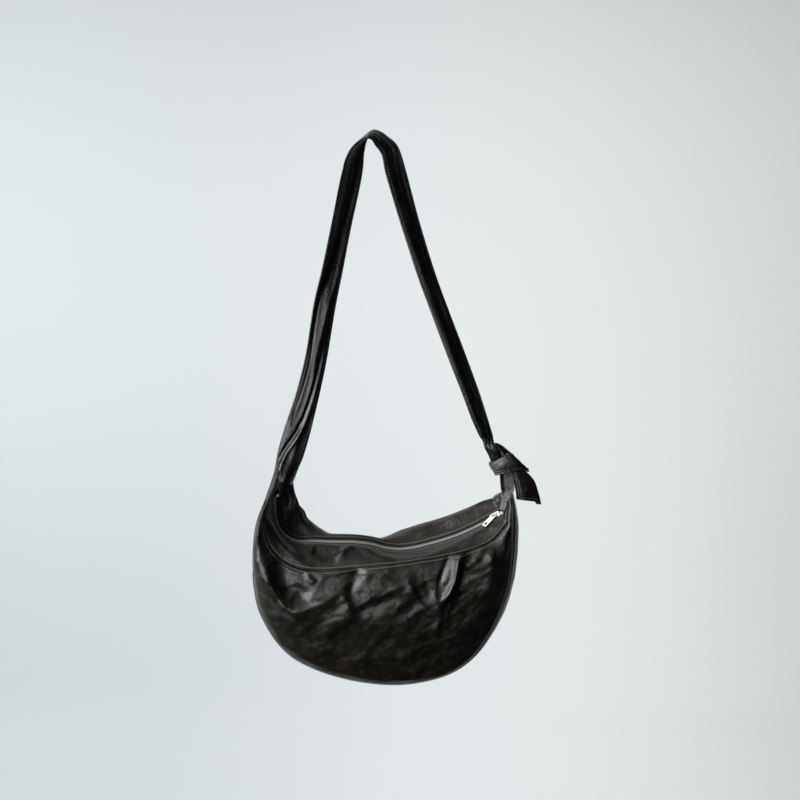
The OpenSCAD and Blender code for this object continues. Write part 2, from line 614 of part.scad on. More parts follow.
// Strap tail: the flat end of the strap below the knot. Each row holds its place from the knot's
// centre as shares of knot_w, knot_d and tail_l, and its width as a share of tail_w.
tail_row_shares = [
    [0.10, -0.20, -0.02, 0.42], [0.13, -0.21, -0.13, 0.52], [0.15, -0.22, -0.24, 0.54],
    [0.24, -0.38, -0.34, 0.80], [0.32, -0.48, -0.48, 0.92], [0.41, -0.54, -0.68, 0.98],
    [0.49, -0.56, -0.90, 1.00], [0.52, -0.56, -1.00, 1.00]];
tail_turn = 8;
tail_cup_share = 0.04;
module strap_tail() {
    color(leather)
        ribbon([for (r = tail_row_shares)
                    [knot_at + [r[0] * knot_w, r[1] * knot_d, r[2] * tail_l], r[3] * tail_w,
                     [cos(tail_turn), sin(tail_turn), 0], tail_cup_share * tail_w]],
               -strap_layer_t, strap_layer_t);
}

// Corner tab: a folded strip that comes out of the bag's right corner and twists into the knot.
// Each row holds its place from the knot's centre as shares of knot_w and knot_band, its width
// as a share of tab_w and its turn away from x in degrees.
tab_row_shares = [
    [-0.10, -0.455, 1.3, 0], [-0.09, -0.62, 1.25, 15], [-0.06, -0.85, 1.05, 32],
    [-0.01, -1.05, 0.9, 36], [0.03, -1.28, 0.82, 20], [0.05, -1.50, 0.78, 6]];
module corner_tab() {
    color(leather_edge)
        ribbon([for (r = tab_row_shares)
                    [knot_at + [r[0] * knot_w, 0, r[1] * knot_band], r[2] * tab_w,
                     [cos(r[3]), sin(r[3]), 0], 0]],
               -tab_t / 2, tab_t / 2);
}

front_panel();
back_panel();
gusset();
front_facing();
back_facing();
front_lining();
back_lining();
front_zip_tape();
back_zip_tape();
front_zip_teeth();
back_zip_teeth();
zip_top_stops();
zip_bottom_stop();
zip_slider();
zip_pull();
strap_outer_layer();
strap_inner_layer();
knot_core();
knot_band_wrap();
knot_hump();
strap_tail();
corner_tab();
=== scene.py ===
# Half moon shoulder bag in washed brown leather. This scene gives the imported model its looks: the
# leather skin with its folds, seams and stitching, the woven zip with nickel teeth, the strap and
# the knot, and plain studio light. Places and lengths are in millimetres, or in shares of the named
# sizes, until a mesh or a material takes them.
import math
import bpy
import numpy as np
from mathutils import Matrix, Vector, noise


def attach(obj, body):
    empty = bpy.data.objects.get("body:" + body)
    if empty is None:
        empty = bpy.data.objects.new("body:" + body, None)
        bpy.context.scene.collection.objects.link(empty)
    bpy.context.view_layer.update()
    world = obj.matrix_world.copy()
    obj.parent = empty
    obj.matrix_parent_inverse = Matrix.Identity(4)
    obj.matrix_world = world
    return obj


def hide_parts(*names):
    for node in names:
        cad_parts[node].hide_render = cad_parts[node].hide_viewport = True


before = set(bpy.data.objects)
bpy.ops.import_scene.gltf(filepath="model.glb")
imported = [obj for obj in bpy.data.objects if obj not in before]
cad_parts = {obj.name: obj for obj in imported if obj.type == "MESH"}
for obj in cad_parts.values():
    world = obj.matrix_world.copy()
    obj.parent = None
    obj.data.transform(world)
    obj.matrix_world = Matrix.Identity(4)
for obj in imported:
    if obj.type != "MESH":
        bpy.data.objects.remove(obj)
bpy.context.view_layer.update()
MM = 0.001

# ---- Camera: a little above the bag's mouth, tilted down towards the body ----
bpy.ops.object.camera_add(location=(0.0345, -1.040, -0.212),
                          rotation=(math.radians(90 - 6.26), 0, 0))
camera = bpy.context.active_object
camera.data.lens = 36.9
camera.data.sensor_width = 36
bpy.context.scene.camera = camera

# ---- Sizes, shared with the part: _W is width, _H height, _D depth, _T thickness, _L length ----
BODY_W, BODY_H, STRAP_DROP = 344, 290, 414
FRONT_D, BACK_D, END_D, GUSSET_W, CROWN = 32, 29, 10, 54, 10
FRONT_BELLY, BACK_BELLY = 17, 11
LEATHER_T, LINING_T, LINING_GAP = 1.4, 0.5, 0.3
SLANT = math.radians(25)
MOUTH_HALF, TAPE_HALF, TAPE_T = 5.2, 13, 0.8
TOOTH_PITCH, TOOTH_L, TOOTH_H, TOOTH_LEG, TOOTH_NOSE, SLIDER_L = 2.6, 1.1, 2.4, 2.6, 0.9, 13
STRAP_W, STRAP_LAYER_T, STRAP_L, APEX_DROOP = 34, 1.5, 960, 8
KNOT_W, KNOT_BAND, KNOT_D, TAIL_L, TAIL_W, TAB_W, TAB_T = 50, 28, 34, 50, 29, 11, 3
KNOT_AT = np.array([0.513 * BODY_W, 0, -0.988 * STRAP_DROP])
BODY_MIDDLE = (14, 0, -520)

# The zip's path from the neck: where it starts, its heading there in degrees, and its arcs of
# [radius as a share of the body's width, turn in degrees]. The slider runs on the third arc.
PATH_START = (-0.326 * BODY_W, -STRAP_DROP, -121.4)
PATH_ARCS = [[0.254, 39.4], [0.122, 68], [1.05, 42], [0.07, 95]]
SLIDER_ARC_END = 0.9037
# Stations from the neck to the right corner: the place along the zip, and the gusset's crown. Then
# the bag's outline at those stations: x as a share of its width, the drop as a share of its height.
STATIONS = np.array([
    [0.000, 0.3], [0.067, 0.3], [0.121, 0.35], [0.187, 0.6], [0.256, 0.7], [0.365, 0.5],
    [0.478, 0.35], [0.584, 0.35], [0.694, 0.5], [0.804, 0.9], [0.9037, 0.55], [1.000, 0.3]])
OUTLINE = np.array([
    [-0.405, 0.000], [-0.441, 0.125], [-0.486, 0.275], [-0.496, 0.480], [-0.469, 0.669],
    [-0.350, 0.856], [-0.122, 0.960], [0.128, 0.973], [0.346, 0.863], [0.475, 0.602],
    [0.509, 0.301], [0.488, 0.122]])


# ---- Small geometry helpers ----
def unit(v):
    return v / np.maximum(np.linalg.norm(v, axis=-1, keepdims=True), 1e-9)


def xyz(x, y, z):
    """Places or directions, one row each, from their three parts."""
    return np.stack([x, y, z], 1)


def mix(a, b, u):
    return a + (b - a) * u


def smoothstep(low, high, x):
    u = np.clip((x - low) / (high - low), 0, 1)
    return u * u * (3 - 2 * u)


def rounded_step(p0, p1, p2, p3, u):
    """Between p1 and p2 at u, on the smooth curve that also meets p0 and p3."""
    return 0.5 * (2 * p1 + (p2 - p0) * u + (2 * p0 - 5 * p1 + 4 * p2 - p3) * u ** 2
                  + (3 * p1 - p0 - 3 * p2 + p3) * u ** 3)


def spline(table, t):
    """A smooth curve through the rows of a table, at t from 0 to 1."""
    table = np.asarray(table, float)
    last = len(table) - 1
    k = np.clip(np.floor(t * last).astype(int), 0, last - 1)
    return rounded_step(*(table[np.clip(k + d, 0, last)] for d in (-1, 0, 1, 2)), (t * last - k)[:, None])


def bell(distance, width):
    """1 on a line, falling away softly to about a third at width."""
    return np.exp(-(distance / width) ** 2)


def eased(rows, blur=0.012):
    """A line through measured places, with its corners rounded off."""
    at, value = np.array(rows, float).T
    fine = np.linspace(-0.1, 1.1, 481)
    step = fine[1] - fine[0]
    weights = np.exp(-0.5 * (np.arange(-12, 13) * step / blur) ** 2)
    line = np.convolve(np.pad(np.interp(fine, at, value), 12, mode="edge"),
                       weights / weights.sum(), mode="valid")
    return lambda s: np.interp(s, fine, line)


def trace_path(steps=400):
    """Rows of length, x, z and heading along the zip's arcs."""
    x, z, h = PATH_START[0], PATH_START[1], math.radians(PATH_START[2])
    s = 0
    rows = [(s, x, z, h)]
    for share, turn in PATH_ARCS:
        r = share * BODY_W
        for _ in range(steps):
            d = r * math.radians(turn) / steps
            h2 = h + d / r
            x += r * (math.sin(h2) - math.sin(h))
            z += r * (math.cos(h) - math.cos(h2))
            h, s = h2, s + d
            rows.append((s, x, z, h))
    return np.array(rows)


PATH = trace_path()
PATH_LENGTH = PATH[-1, 0]

# How far the soft mouth lets the zip wander from its arcs, and the two top seams' places, by the
# share of the zip's length.
zip_wave = eased([(0, 0), (.06, -1.5), (.10, -2.5), (.14, -3), (.18, -5.5), (.21, -7), (.235, -7),
                  (.27, -4), (.306, 0), (.353, 2), (.39, 3.9), (.42, 4.8), (.447, 4.6),
                  (.486, 2.9), (.527, -3.2), (.574, -6.6), (.618, -6.6), (.667, -5.2),
                  (.716, -4.5), (.765, -3.3), (.831, -1.2), (.87, 0), (1, 0)], 0.010)
front_seam_drop = eased([(0, 3.2), (.066, 2.5), (.110, 8.0), (.148, 14.5), (.181, 19.0), (.222, 24.2),
                         (.257, 29.0), (.297, 30.0), (.369, 24.8), (.425, 19.8), (.513, 15.6),
                         (.571, 15.1), (.630, 15.1), (.688, 16.9), (.746, 19.4), (.809, 21.3),
                         (.856, 20.0), (.894, 11.5), (.94, 7), (1, 3.2)])
back_seam_rise = eased([(0, 10.4), (.022, 12.5), (.070, 17.5), (.121, 24), (.19, 27.5), (.227, 27),
                        (.279, 16), (.320, 8), (.355, 3), (.444, -1.4), (.490, -0.5), (.524, 3.2),
                        (.576, 11), (.646, 15.8), (.716, 17.4), (.780, 19.0), (.880, 20.9),
                        (.94, 14), (1, 5.5)])


def path_at(s):
    """Place and heading on the zip's arcs, by the share of its length."""
    x, z, h = (np.interp(s * PATH_LENGTH, PATH[:, 0], PATH[:, k]) for k in (1, 2, 3))
    return xyz(x, 0 * x, z), h


def rise_dir(h):
    """Square to the zip's heading, in the bag's own plane, and up."""
    return xyz(-np.sin(h), 0 * h, np.cos(h))


def across_dir(h):
    """Across the zip and towards the back, as the tapes lie."""
    return rise_dir(h) * math.sin(SLANT) + np.array([0, math.cos(SLANT), 0])


def normal_dir(h):
    """Out of the tapes, on the side that the teeth show."""
    return rise_dir(h) * math.cos(SLANT) - np.array([0, math.sin(SLANT), 0])


def zip_line(s):
    """The middle of the zip as it really lies, and its heading."""
    place, h = path_at(s)
    step = 0.002
    slope = (zip_wave(s + step) - zip_wave(s - step)) / (2 * step * PATH_LENGTH)
    return place + rise_dir(h) * zip_wave(s)[:, None], h + np.arctan(slope)


def dome(t):
    """From 0 at both ends of the bag to 1 in its middle, as its depth grows."""
    return np.maximum(np.sin(np.pi * np.clip(t, 0, 1)), 0) ** 0.7


# The soft corner past the slider: at t, the (x, z) places of the mouth, the front seam and the back
# seam. The pinned leather draws the front gusset seam inwards there, by the millimetres below.
CORNER = np.array([
    [0.90, 160.7, -476.9, 165.5, -487.5, 151.9, -459.8],
    [0.92, 165.6, -470.8, 169.2, -478.5, 157.4, -456.2],
    [0.94, 168.0, -464.8, 171.0, -470.5, 161.4, -452.8],
    [0.96, 169.0, -459.8, 171.8, -464.0, 164.4, -450.4],
    [0.98, 169.6, -456.2, 172.2, -459.0, 166.4, -449.2],
    [1.00, 170.0, -453.5, 172.5, -455.5, 168.0, -448.4]])
CORNER_STEEPEST = math.radians(78)
seam_inset = eased([(0, 0), (.68, 0), (.74, 4), (.80, 4), (.86, 6.5), (.90, 8.5), (.94, 8), (.97, 5.5),
                    (1, 3.5)], 0.01)


def tuck(t):
    """How far the leather's lower edge rolls back under the bag before it reaches the seam."""
    return 9 * smoothstep(0.10, 0.22, t) * smoothstep(0.74, 0.62, t)


def body_lines(t):
    """The lines that the body hangs from at t: mouth, heading, top seams, outline, gusset seams."""
    station = spline(STATIONS, t)
    s = np.clip(station[:, 0], 0, 1)
    mouth, heading = zip_line(s)
    arc, arc_heading = path_at(s)
    up = rise_dir(arc_heading)
    full = dome(t)
    side_y = np.array([0, 1, 0])
    front = arc - up * front_seam_drop(s)[:, None] - side_y * mix(END_D, FRONT_D, full)[:, None]
    back = arc + up * back_seam_rise(s)[:, None] + side_y * mix(END_D, BACK_D, full)[:, None]
    shares = spline(OUTLINE, t)
    outline = xyz((shares[:, 0] + 0.04) * BODY_W, 0 * t, -STRAP_DROP - shares[:, 1] * BODY_H)
    inwards = unit(arc - outline) * (station[:, 1] * CROWN)[:, None]
    low = {side: outline + inwards + side_y * (side * mix(END_D, GUSSET_W / 2, full))[:, None]
           for side in (-1, 1)}
    low[-1] += unit(arc - outline) * seam_inset(t)[:, None]
    low[-1][:, 1] += tuck(t)
    low[-1][:, 2] -= 0.33 * tuck(t)
    blend = smoothstep(0.90, 0.93, t)
    for line, k in ((mouth, 1), (front, 3), (back, 5)):
        for axis in (0, 2):
            column = np.interp(t, CORNER[:, 0], CORNER[:, k + axis // 2])
            line[:, axis] = mix(line[:, axis], column, blend)
    heading = np.where(t > CORNER[0, 0], np.minimum(heading, CORNER_STEEPEST), heading)
    return mouth, heading, {-1: front, 1: back}, outline, low


# ---- Folds. Each is a line of (x, z) places, its height, and its reach to its right and left ----
FRONT_FOLDS = [
    # the long fold from the seam below the slider, its dark valley, and the creases beside it
    ([(122, -506), (114, -514), (108, -525), (106, -537), (104, -549), (98, -562), (90, -575),
      (85, -584)], 6.4, 3.6, 3.8),
    ([(121, -512), (105, -530), (101, -548), (92, -566)], 2.6, 13, 7),
    ([(118, -532), (112, -550), (106, -566), (97, -581), (90, -600)], -4.5, 5, 13),
    ([(105, -560), (100, -576), (94, -591), (90, -605)], 2.6, 4, 4),
    ([(91, -513), (96, -524), (90, -537), (86, -549), (82, -560)], -3.4, 3.5, 3),
    ([(74, -563), (81, -576), (86, -597), (80, -616), (74, -632)], 2.2, 6, 4),
    ([(46, -545), (50, -563), (59, -579), (73, -592), (83, -605)], 1.8, 5, 4),
    ([(65, -547), (70, -563), (77, -579)], -1.2, 4, 4),
    ([(149, -511), (152, -534), (150, -553), (146, -579)], 3.0, 9, 5),
    ([(134, -534), (128, -558), (121, -584), (113, -605)], -2.6, 12, 12),
    ([(141, -499), (136, -516), (127, -532)], 2.2, 6, 5),
    # the roll at the left with the hollow above it, and the small folds below the top seam
    ([(-136, -521), (-130, -546), (-122, -563), (-111, -580), (-99, -587), (-86, -585), (-68, -577),
      (-51, -570), (-35, -564)], 7.0, 14, 7),
    ([(-126, -526), (-116, -542), (-105, -558), (-92, -565), (-77, -560)], -5.5, 11, 12),
    ([(-88, -534), (-78, -538), (-63, -543), (-48, -541), (-32, -535), (-20, -528)], 3.2, 5, 5),
    ([(-84, -538), (-80, -547), (-71, -554)], 2.2, 4, 4),
    ([(-15, -534), (-22, -546), (-26, -559), (-29, -576)], -3.4, 7, 7),
    ([(-37, -567), (-31, -575), (-27, -585)], 2.0, 5, 4),
    ([(-12, -549), (-2, -540), (13, -536), (28, -537)], 1.4, 4, 4),
    # the bright patch, the wide bulge beside it, and the soft marks of the lower body
    ([(-64, -622), (-47, -607), (-31, -595), (-18, -587)], 5.0, 9, 15),
    ([(-15, -563), (8, -556), (33, -554), (59, -549)], 3.0, 16, 18),
    ([(-23, -591), (0, -581), (23, -572), (39, -563)], -1.6, 6, 6),
    ([(-9, -632), (0, -624), (10, -619), (19, -629), (20, -643)], -1.3, 5, 5),
    ([(-17, -653), (13, -651), (39, -653), (57, -650)], 1.0, 4, 4),
    ([(-110, -633), (-90, -636), (-67, -641), (-49, -648)], 1.8, 11, 11),
    ([(118, -632), (103, -625), (86, -632)], 1.4, 6, 6),
    ([(-117, -595), (-99, -604), (-82, -605)], -1.6, 8, 8),
]
FRONT_FACING_FOLDS = [
    ([(-47, -529), (-34, -517), (-25, -511), (-13, -517), (2, -523), (23, -527)], 2.6, 4, 4),
    ([(-34, -510), (-23, -507), (-8, -513), (13, -517)], 1.4, 3, 3),
    ([(-78, -516), (-62, -522), (-44, -523)], -3.0, 7, 7),
    ([(-134, -475), (-127, -496), (-115, -514), (-100, -527), (-82, -536)], 4.2, 5, 5),
    ([(-131, -467), (-120, -492), (-106, -509), (-90, -519)], -1.6, 4, 4),
]
BACK_FACING_FOLDS = [
    ([(-114, -430), (-107, -442), (-106, -452), (-110, -466), (-112, -486)], 3.6, 3.5, 3.5),
    ([(-127, -437), (-118, -456), (-116, -484), (-112, -508)], 2.0, 4, 4),
    ([(-101, -463), (-96, -485), (-88, -501), (-72, -512)], 2.4, 5, 4),
    ([(-88, -488), (-75, -499), (-64, -505)], 1.8, 4, 4),
    ([(9, -513), (28, -520), (55, -510), (82, -496)], 1.8, 5, 5),
    ([(39, -505), (60, -496), (79, -488)], 1.6, 5, 4),
    ([(93, -488), (114, -477), (141, -463)], 1.2, 5, 4),
]
# The hollow at the right corner that the swung pull rests in.
PULL_HOLLOW = [([(162, -459), (167.4, -455.7), (172, -452.5)], -0.9, 6, 6)]
GUSSET_FOLDS = [([(-158, -547), (-153, -566), (-147, -585)], 1.5, 4, 4)]


END_REACH = 8


def fold_height(x, z, folds):
    """The height that a set of folds gives at each place, with both ends of each fold faded out,
    and gone within END_REACH past them."""
    height = np.zeros_like(x)
    for line, rise, reach_right, reach_left in folds:
        line = np.array(line, float)
        lengths = np.linalg.norm(np.diff(line, axis=0), axis=1)
        starts = np.concatenate([[0], np.cumsum(lengths)])
        near = np.full_like(x, 1e9)
        signed = np.zeros_like(x)
        travel = np.zeros_like(x)
        for k, length in enumerate(lengths):
            ax, az = line[k]
            dx, dz = (line[k + 1] - line[k]) / length
            along = np.clip((x - ax) * dx + (z - az) * dz, 0, length)
            off_x, off_z = x - ax - along * dx, z - az - along * dz
            distance = np.hypot(off_x, off_z)
            closer = distance < near
            near = np.where(closer, distance, near)
            signed = np.where(closer, np.sign(off_z * dx - off_x * dz) * distance, signed)
            travel = np.where(closer, starts[k] + along, travel)
        total = starts[-1]
        fade = smoothstep(-0.04, 0.16, travel / total) * smoothstep(-0.05, 0.25, 1 - travel / total)
        reach = np.where(signed < 0, reach_right, reach_left)
        past_end = (travel <= 0) | (travel >= total)
        height += rise * np.maximum(fade, 0.12) * bell(near, reach) \
            * np.where(past_end, bell(near, END_REACH), 1)
    return height


def lumps(p, size, seed):
    """Soft random relief about as wide as size, between about -1 and 1."""
    return np.array([noise.noise((x / size + seed, y / size - seed, z / size)) for x, y, z in p])


def leather_lumps(p, seed):
    """Washed leather never lies flat: broad dents and sharp-backed creases, drawn out along the way
    it hangs, then ever smaller ones."""
    lean = math.radians(28)
    drawn = xyz(p[:, 0] * math.cos(lean) + p[:, 2] * math.sin(lean), p[:, 1],
                2.1 * (p[:, 2] * math.cos(lean) - p[:, 0] * math.sin(lean)))
    creases = 1 - 2.2 * np.abs(lumps(drawn, 46, seed + 21))
    return 2.2 * lumps(p, 52, seed) + 1.1 * creases + 1.0 * lumps(drawn, 30, seed + 7) \
        + 0.7 * lumps(drawn, 12, seed + 13) + 0.22 * lumps(p, 4.5, seed + 17)


def seam_relief(d):
    """Across a turned and topstitched seam: a groove in the seam, and a raised band beside it."""
    return 0.55 * (1 - smoothstep(4.5, 7.5, d)) - 1.1 * bell(d, 0.9)


def end_fade(t):
    """Calms the relief towards the bag's two ends."""
    return smoothstep(0, 0.07, t) * smoothstep(0, 0.05, 1 - t)


# ---- The leather's outer faces: t runs from the neck to the right corner, v down or to the back ----
def panel_face(t, v, side):
    """The front panel (side -1) or the back panel (side 1), from its top seam to its gusset seam."""
    _, _, top, _, low = body_lines(t)
    reach = np.linalg.norm(low[side] - top[side], axis=1)
    p = mix(top[side], low[side], v[:, None])
    belly = dome(t) * np.sin(np.pi * v ** 0.8)
    edge = smoothstep(0, 16, (1 - v) * reach)
    calm = smoothstep(0, 14, v * reach)
    if side < 0:
        p[:, 1] -= FRONT_BELLY * belly
        p[:, 1] += tuck(t) * (np.clip(1 - (1 - v) * reach / 15, 0, 1) ** 2 - v)
        lift = fold_height(p[:, 0], p[:, 2], FRONT_FOLDS) + leather_lumps(p, 3) * calm
    else:
        p[:, 1] += BACK_BELLY * belly
        lift = 0.9 * leather_lumps(p, 31) * calm
    p[:, 1] += side * (lift * edge * end_fade(t) + seam_relief(v * reach) + seam_relief((1 - v) * reach))
    return p


def facing_face(t, v, side):
    """One half of the top, from its folded edge beside the teeth (v = 0) to its seam (v = 1)."""
    mouth, heading, top, _, _ = body_lines(t)
    seam = top[side]
    reach = np.linalg.norm(seam - mouth, axis=1)
    flat = np.minimum(TAPE_HALF, 0.5 * reach)[:, None]
    s = np.clip(spline(STATIONS, t)[:, 0], 0, 1)
    beside = smoothstep(0.064, 0.088, s) * smoothstep(0.948, 0.922, s)
    edge = (np.minimum(MOUTH_HALF, 0.3 * reach) * beside)[:, None]
    lift = normal_dir(heading) * (TAPE_T / 2 + LEATHER_T)
    across = across_dir(heading) * side
    rows = [mouth + across * edge + lift, mouth + across * flat + lift]
    rows += [mix(rows[1], seam, 0.5) + normal_dir(heading) * 0.05 * reach[:, None], seam]
    stack = np.stack([2 * rows[0] - rows[1]] + rows + [2 * rows[3] - rows[2]])
    k = np.clip(np.floor(v * 3).astype(int), 0, 2)
    at = np.arange(len(t))
    p = rounded_step(*(stack[k + d, at] for d in range(4)), (v * 3 - k)[:, None])
    fade = end_fade(t)
    if side < 0:
        lift = fold_height(p[:, 0], p[:, 2], FRONT_FACING_FOLDS) * smoothstep(0, 5, (1 - v) * reach)
        p += normal_dir(heading) * (lift * fade * smoothstep(0.12, 0.4, v))[:, None]
        soft = leather_lumps(p, 11)
    else:
        hollow = fold_height(p[:, 0], p[:, 2], PULL_HOLLOW) * smoothstep(0, 0.06, 1 - v)
        lift = fold_height(p[:, 0], p[:, 2], BACK_FACING_FOLDS)
        lift *= fade * smoothstep(0.1, 0.5, v) * smoothstep(0, 0.2, 1 - v)
        p += normal_dir(heading) * (lift + hollow)[:, None]
        soft = leather_lumps(p, 19)
    bump = 0.45 * soft * smoothstep(0.15, 0.5, v) * smoothstep(0, 0.3, 1 - v) * fade
    p += normal_dir(heading) * (bump - 0.35 * bell(v * reach, 0.7))[:, None]
    p[:, 1] += side * seam_relief((1 - v) * reach)
    return p


def gusset_face(t, v):
    _, _, _, outline, low = body_lines(t)
    out = outline - (low[-1] + low[1]) / 2
    p = mix(low[-1], low[1], v[:, None]) + out * np.sin(np.pi * v)[:, None]
    reach = np.linalg.norm(low[-1] - low[1], axis=1)
    d = np.minimum(v, 1 - v) * reach
    soft = 0.45 * leather_lumps(p, 43) * smoothstep(2, 12, d) * end_fade(t)
    soft += fold_height(p[:, 0], p[:, 2], GUSSET_FOLDS) * smoothstep(2, 8, d) + seam_relief(d)
    return p + unit(out) * soft[:, None]


def panel_reach(t, side):
    _, _, top, _, low = body_lines(t)
    return np.linalg.norm(low[side] - top[side], axis=1)


def facing_reach(t, side):
    mouth, _, top, _, _ = body_lines(t)
    return np.linalg.norm(top[side] - mouth, axis=1)


# ---- Making pieces ----
def deselect():
    if bpy.context.mode != "OBJECT":
        bpy.ops.object.mode_set(mode="OBJECT")
    bpy.ops.object.select_all(action="DESELECT")


def pick(piece):
    """Selects one piece and nothing else."""
    deselect()
    bpy.context.view_layer.objects.active = piece
    piece.select_set(True)


def triples(elements, name):
    """The places or normals of a mesh's vertices or faces, one row each."""
    flat = np.empty(len(elements) * 3)
    elements.foreach_get(name, flat)
    return flat.reshape(-1, 3)


def vertices(piece):
    return triples(piece.data.vertices, "co")


def move_vertices(piece, places):
    piece.data.vertices.foreach_set("co", np.asarray(places, float).ravel())
    piece.data.update()


def edit_all(piece, *steps):
    """Runs edit mode steps on the whole of one piece."""
    pick(piece)
    bpy.ops.object.mode_set(mode="EDIT")
    bpy.ops.mesh.select_all(action="SELECT")
    for step in steps:
        step()
    bpy.ops.object.mode_set(mode="OBJECT")


def apply(piece, kind, **settings):
    """Adds a modifier and applies it."""
    pick(piece)
    modifier = piece.modifiers.new(kind.lower(), kind)
    for key, value in settings.items():
        setattr(modifier, key, value)
    bpy.ops.object.modifier_apply(modifier=modifier.name)


def grid_piece(name, face, along, across, outwards=None, spread=0.0, thickness=0, offset=-1,
               closed=False, rounds=0):
    """A sheet: a grid whose points go where face(u, v) puts them. outwards tells which way its faces
    look, spread crowds its rows towards both long edges, closed merges the edges that meet, and
    rounds softens it that many times."""
    deselect()
    bpy.ops.mesh.primitive_grid_add(x_subdivisions=along, y_subdivisions=across, size=1)
    piece = bpy.context.active_object
    piece.name = piece.data.name = name
    flat = vertices(piece) + 0.5
    u, v = np.clip(flat[:, 0], 0, 1), np.clip(flat[:, 1], 0, 1)
    v = mix(v, (1 - np.cos(np.pi * v)) / 2, spread)
    move_vertices(piece, face(u, v) * MM)
    if closed:
        edit_all(piece, lambda: bpy.ops.mesh.remove_doubles(threshold=0.02 * MM))
    if outwards is not None:
        hint = outwards(triples(piece.data.polygons, "center") / MM)
        if np.mean(np.sum(triples(piece.data.polygons, "normal") * hint, 1)) < 0:
            edit_all(piece, bpy.ops.mesh.flip_normals)
    if rounds:
        apply(piece, "SMOOTH", factor=0.5, iterations=rounds)
    if thickness:
        apply(piece, "SOLIDIFY", thickness=thickness * MM, offset=offset, use_quality_normals=True)
    pick(piece)
    bpy.ops.object.shade_smooth_by_angle(angle=math.radians(50))
    return piece


def scatter(name, model, origins, x_axes, z_axes):
    """Copies a small model to many places, as one mesh. Its x and z axes are turned to those given."""
    x_axes = unit(x_axes)
    y_axes = unit(np.cross(z_axes, x_axes))
    z_axes = np.cross(x_axes, y_axes)
    points = vertices(model)
    faces = [list(f.vertices) for f in model.data.polygons]
    places = (origins[:, None] * MM + points[None, :, :1] * x_axes[:, None]
              + points[None, :, 1:2] * y_axes[:, None] + points[None, :, 2:] * z_axes[:, None])
    mesh = bpy.data.meshes.new(name)
    mesh.from_pydata(places.reshape(-1, 3).tolist(), [],
                     [[i + k * len(points) for i in f] for k in range(len(origins)) for f in faces])
    piece = bpy.data.objects.new(name, mesh)
    bpy.context.collection.objects.link(piece)
    for f in mesh.polygons:
        f.use_smooth = True
    return piece


def outwards_from(middle):
    return lambda p: unit(p - np.array(middle, float))


def facing_out(direction):
    return lambda p: np.broadcast_to(np.array(direction, float), p.shape)


def on_side(face, side):
    """One side of a face that has two: -1 is the front, or the strap's inner side, and 1 the other."""
    return lambda u, v: face(u, v, side)


# The ways that the bag's sides look.
to_front, to_back = facing_out((0, -1, 0)), facing_out((0, 1, 0))
to_sky, from_middle = facing_out((0, -0.5, 0.8)), outwards_from(BODY_MIDDLE)

# ---- The bag's skin ----
front_panel = grid_piece("front_panel_leather", on_side(panel_face, -1), 360, 128, to_front,
                         spread=0.5, thickness=LEATHER_T, rounds=2)
back_panel = grid_piece("back_panel_leather", on_side(panel_face, 1), 260, 100, to_back,
                        spread=0.7, thickness=LEATHER_T)
gusset = grid_piece("gusset_leather", gusset_face, 340, 44, from_middle, spread=0.5, thickness=LEATHER_T)
front_facing, back_facing = (
    grid_piece(name, on_side(facing_face, side), 340, 56, to_sky, spread=0.6, thickness=LEATHER_T)
    for name, side in (("front_facing_leather", -1), ("back_facing_leather", 1)))

# The lining hangs this deep inside the leather's outer face, clear of the zip's folds.
LINING_DEPTH = LEATHER_T + LINING_GAP + 1.5


def skin_half(t, v, side):
    """Half of the skin from a facing, down its panel, to the middle of the gusset."""
    t = mix(0.14, 0.86, t)
    top, bottom = 0.2, 0.85
    low = np.clip((v - bottom) / (2 * (1 - bottom)), 0, 0.5)
    facing = facing_face(t, mix(0.45, 1, np.minimum(v / top, 1)), side)
    wall = panel_face(t, np.clip((v - top) / (bottom - top), 0, 1), side)
    base = gusset_face(t, low if side < 0 else 1 - low)
    return np.where((v < top)[:, None], facing, np.where((v < bottom)[:, None], wall, base))


def lining(name, side):
    piece = grid_piece(name, on_side(skin_half, side), 130, 90, facing_out((0, side, 0)))
    inwards = -triples(piece.data.vertices, "normal")
    move_vertices(piece, vertices(piece) + inwards * LINING_DEPTH * MM)
    apply(piece, "SOLIDIFY", thickness=LINING_T * MM, offset=-1)
    return piece


front_lining, back_lining = lining("front_lining_cloth", -1), lining("back_lining_cloth", 1)

# ---- Zip: two woven tapes, and teeth that follow the mouth's soft wave ----
fine_t = np.linspace(0, 1, 2001)
fine_s = np.maximum.accumulate(np.clip(spline(STATIONS, fine_t)[:, 0], 0, 1))
SLIDER_END = SLIDER_ARC_END * PATH_LENGTH
SLIDER_AT = SLIDER_END - 0.5 * SLIDER_L
CHAIN_START = 0.1 * PATH_LENGTH
TAPE_BEAD = TOOTH_NOSE + 0.4 * TOOTH_L


def tape_face(u, v, side):
    s = mix((CHAIN_START - 0.6 * SLIDER_L) / PATH_LENGTH, (SLIDER_END + 0.4 * SLIDER_L) / PATH_LENGTH, u)
    t = np.interp(s, fine_s, fine_t)
    mouth, heading = zip_line(s)
    reach = 0.88 * np.minimum(TAPE_HALF, 0.5 * facing_reach(t, side))
    return mouth + across_dir(heading) * (side * mix(TAPE_BEAD, reach, v))[:, None]


front_tape, back_tape = (
    grid_piece(name, on_side(tape_face, side), 400, 8, to_sky, thickness=TAPE_T, offset=0)
    for name, side in (("front_tape_woven", -1), ("back_tape_woven", 1)))


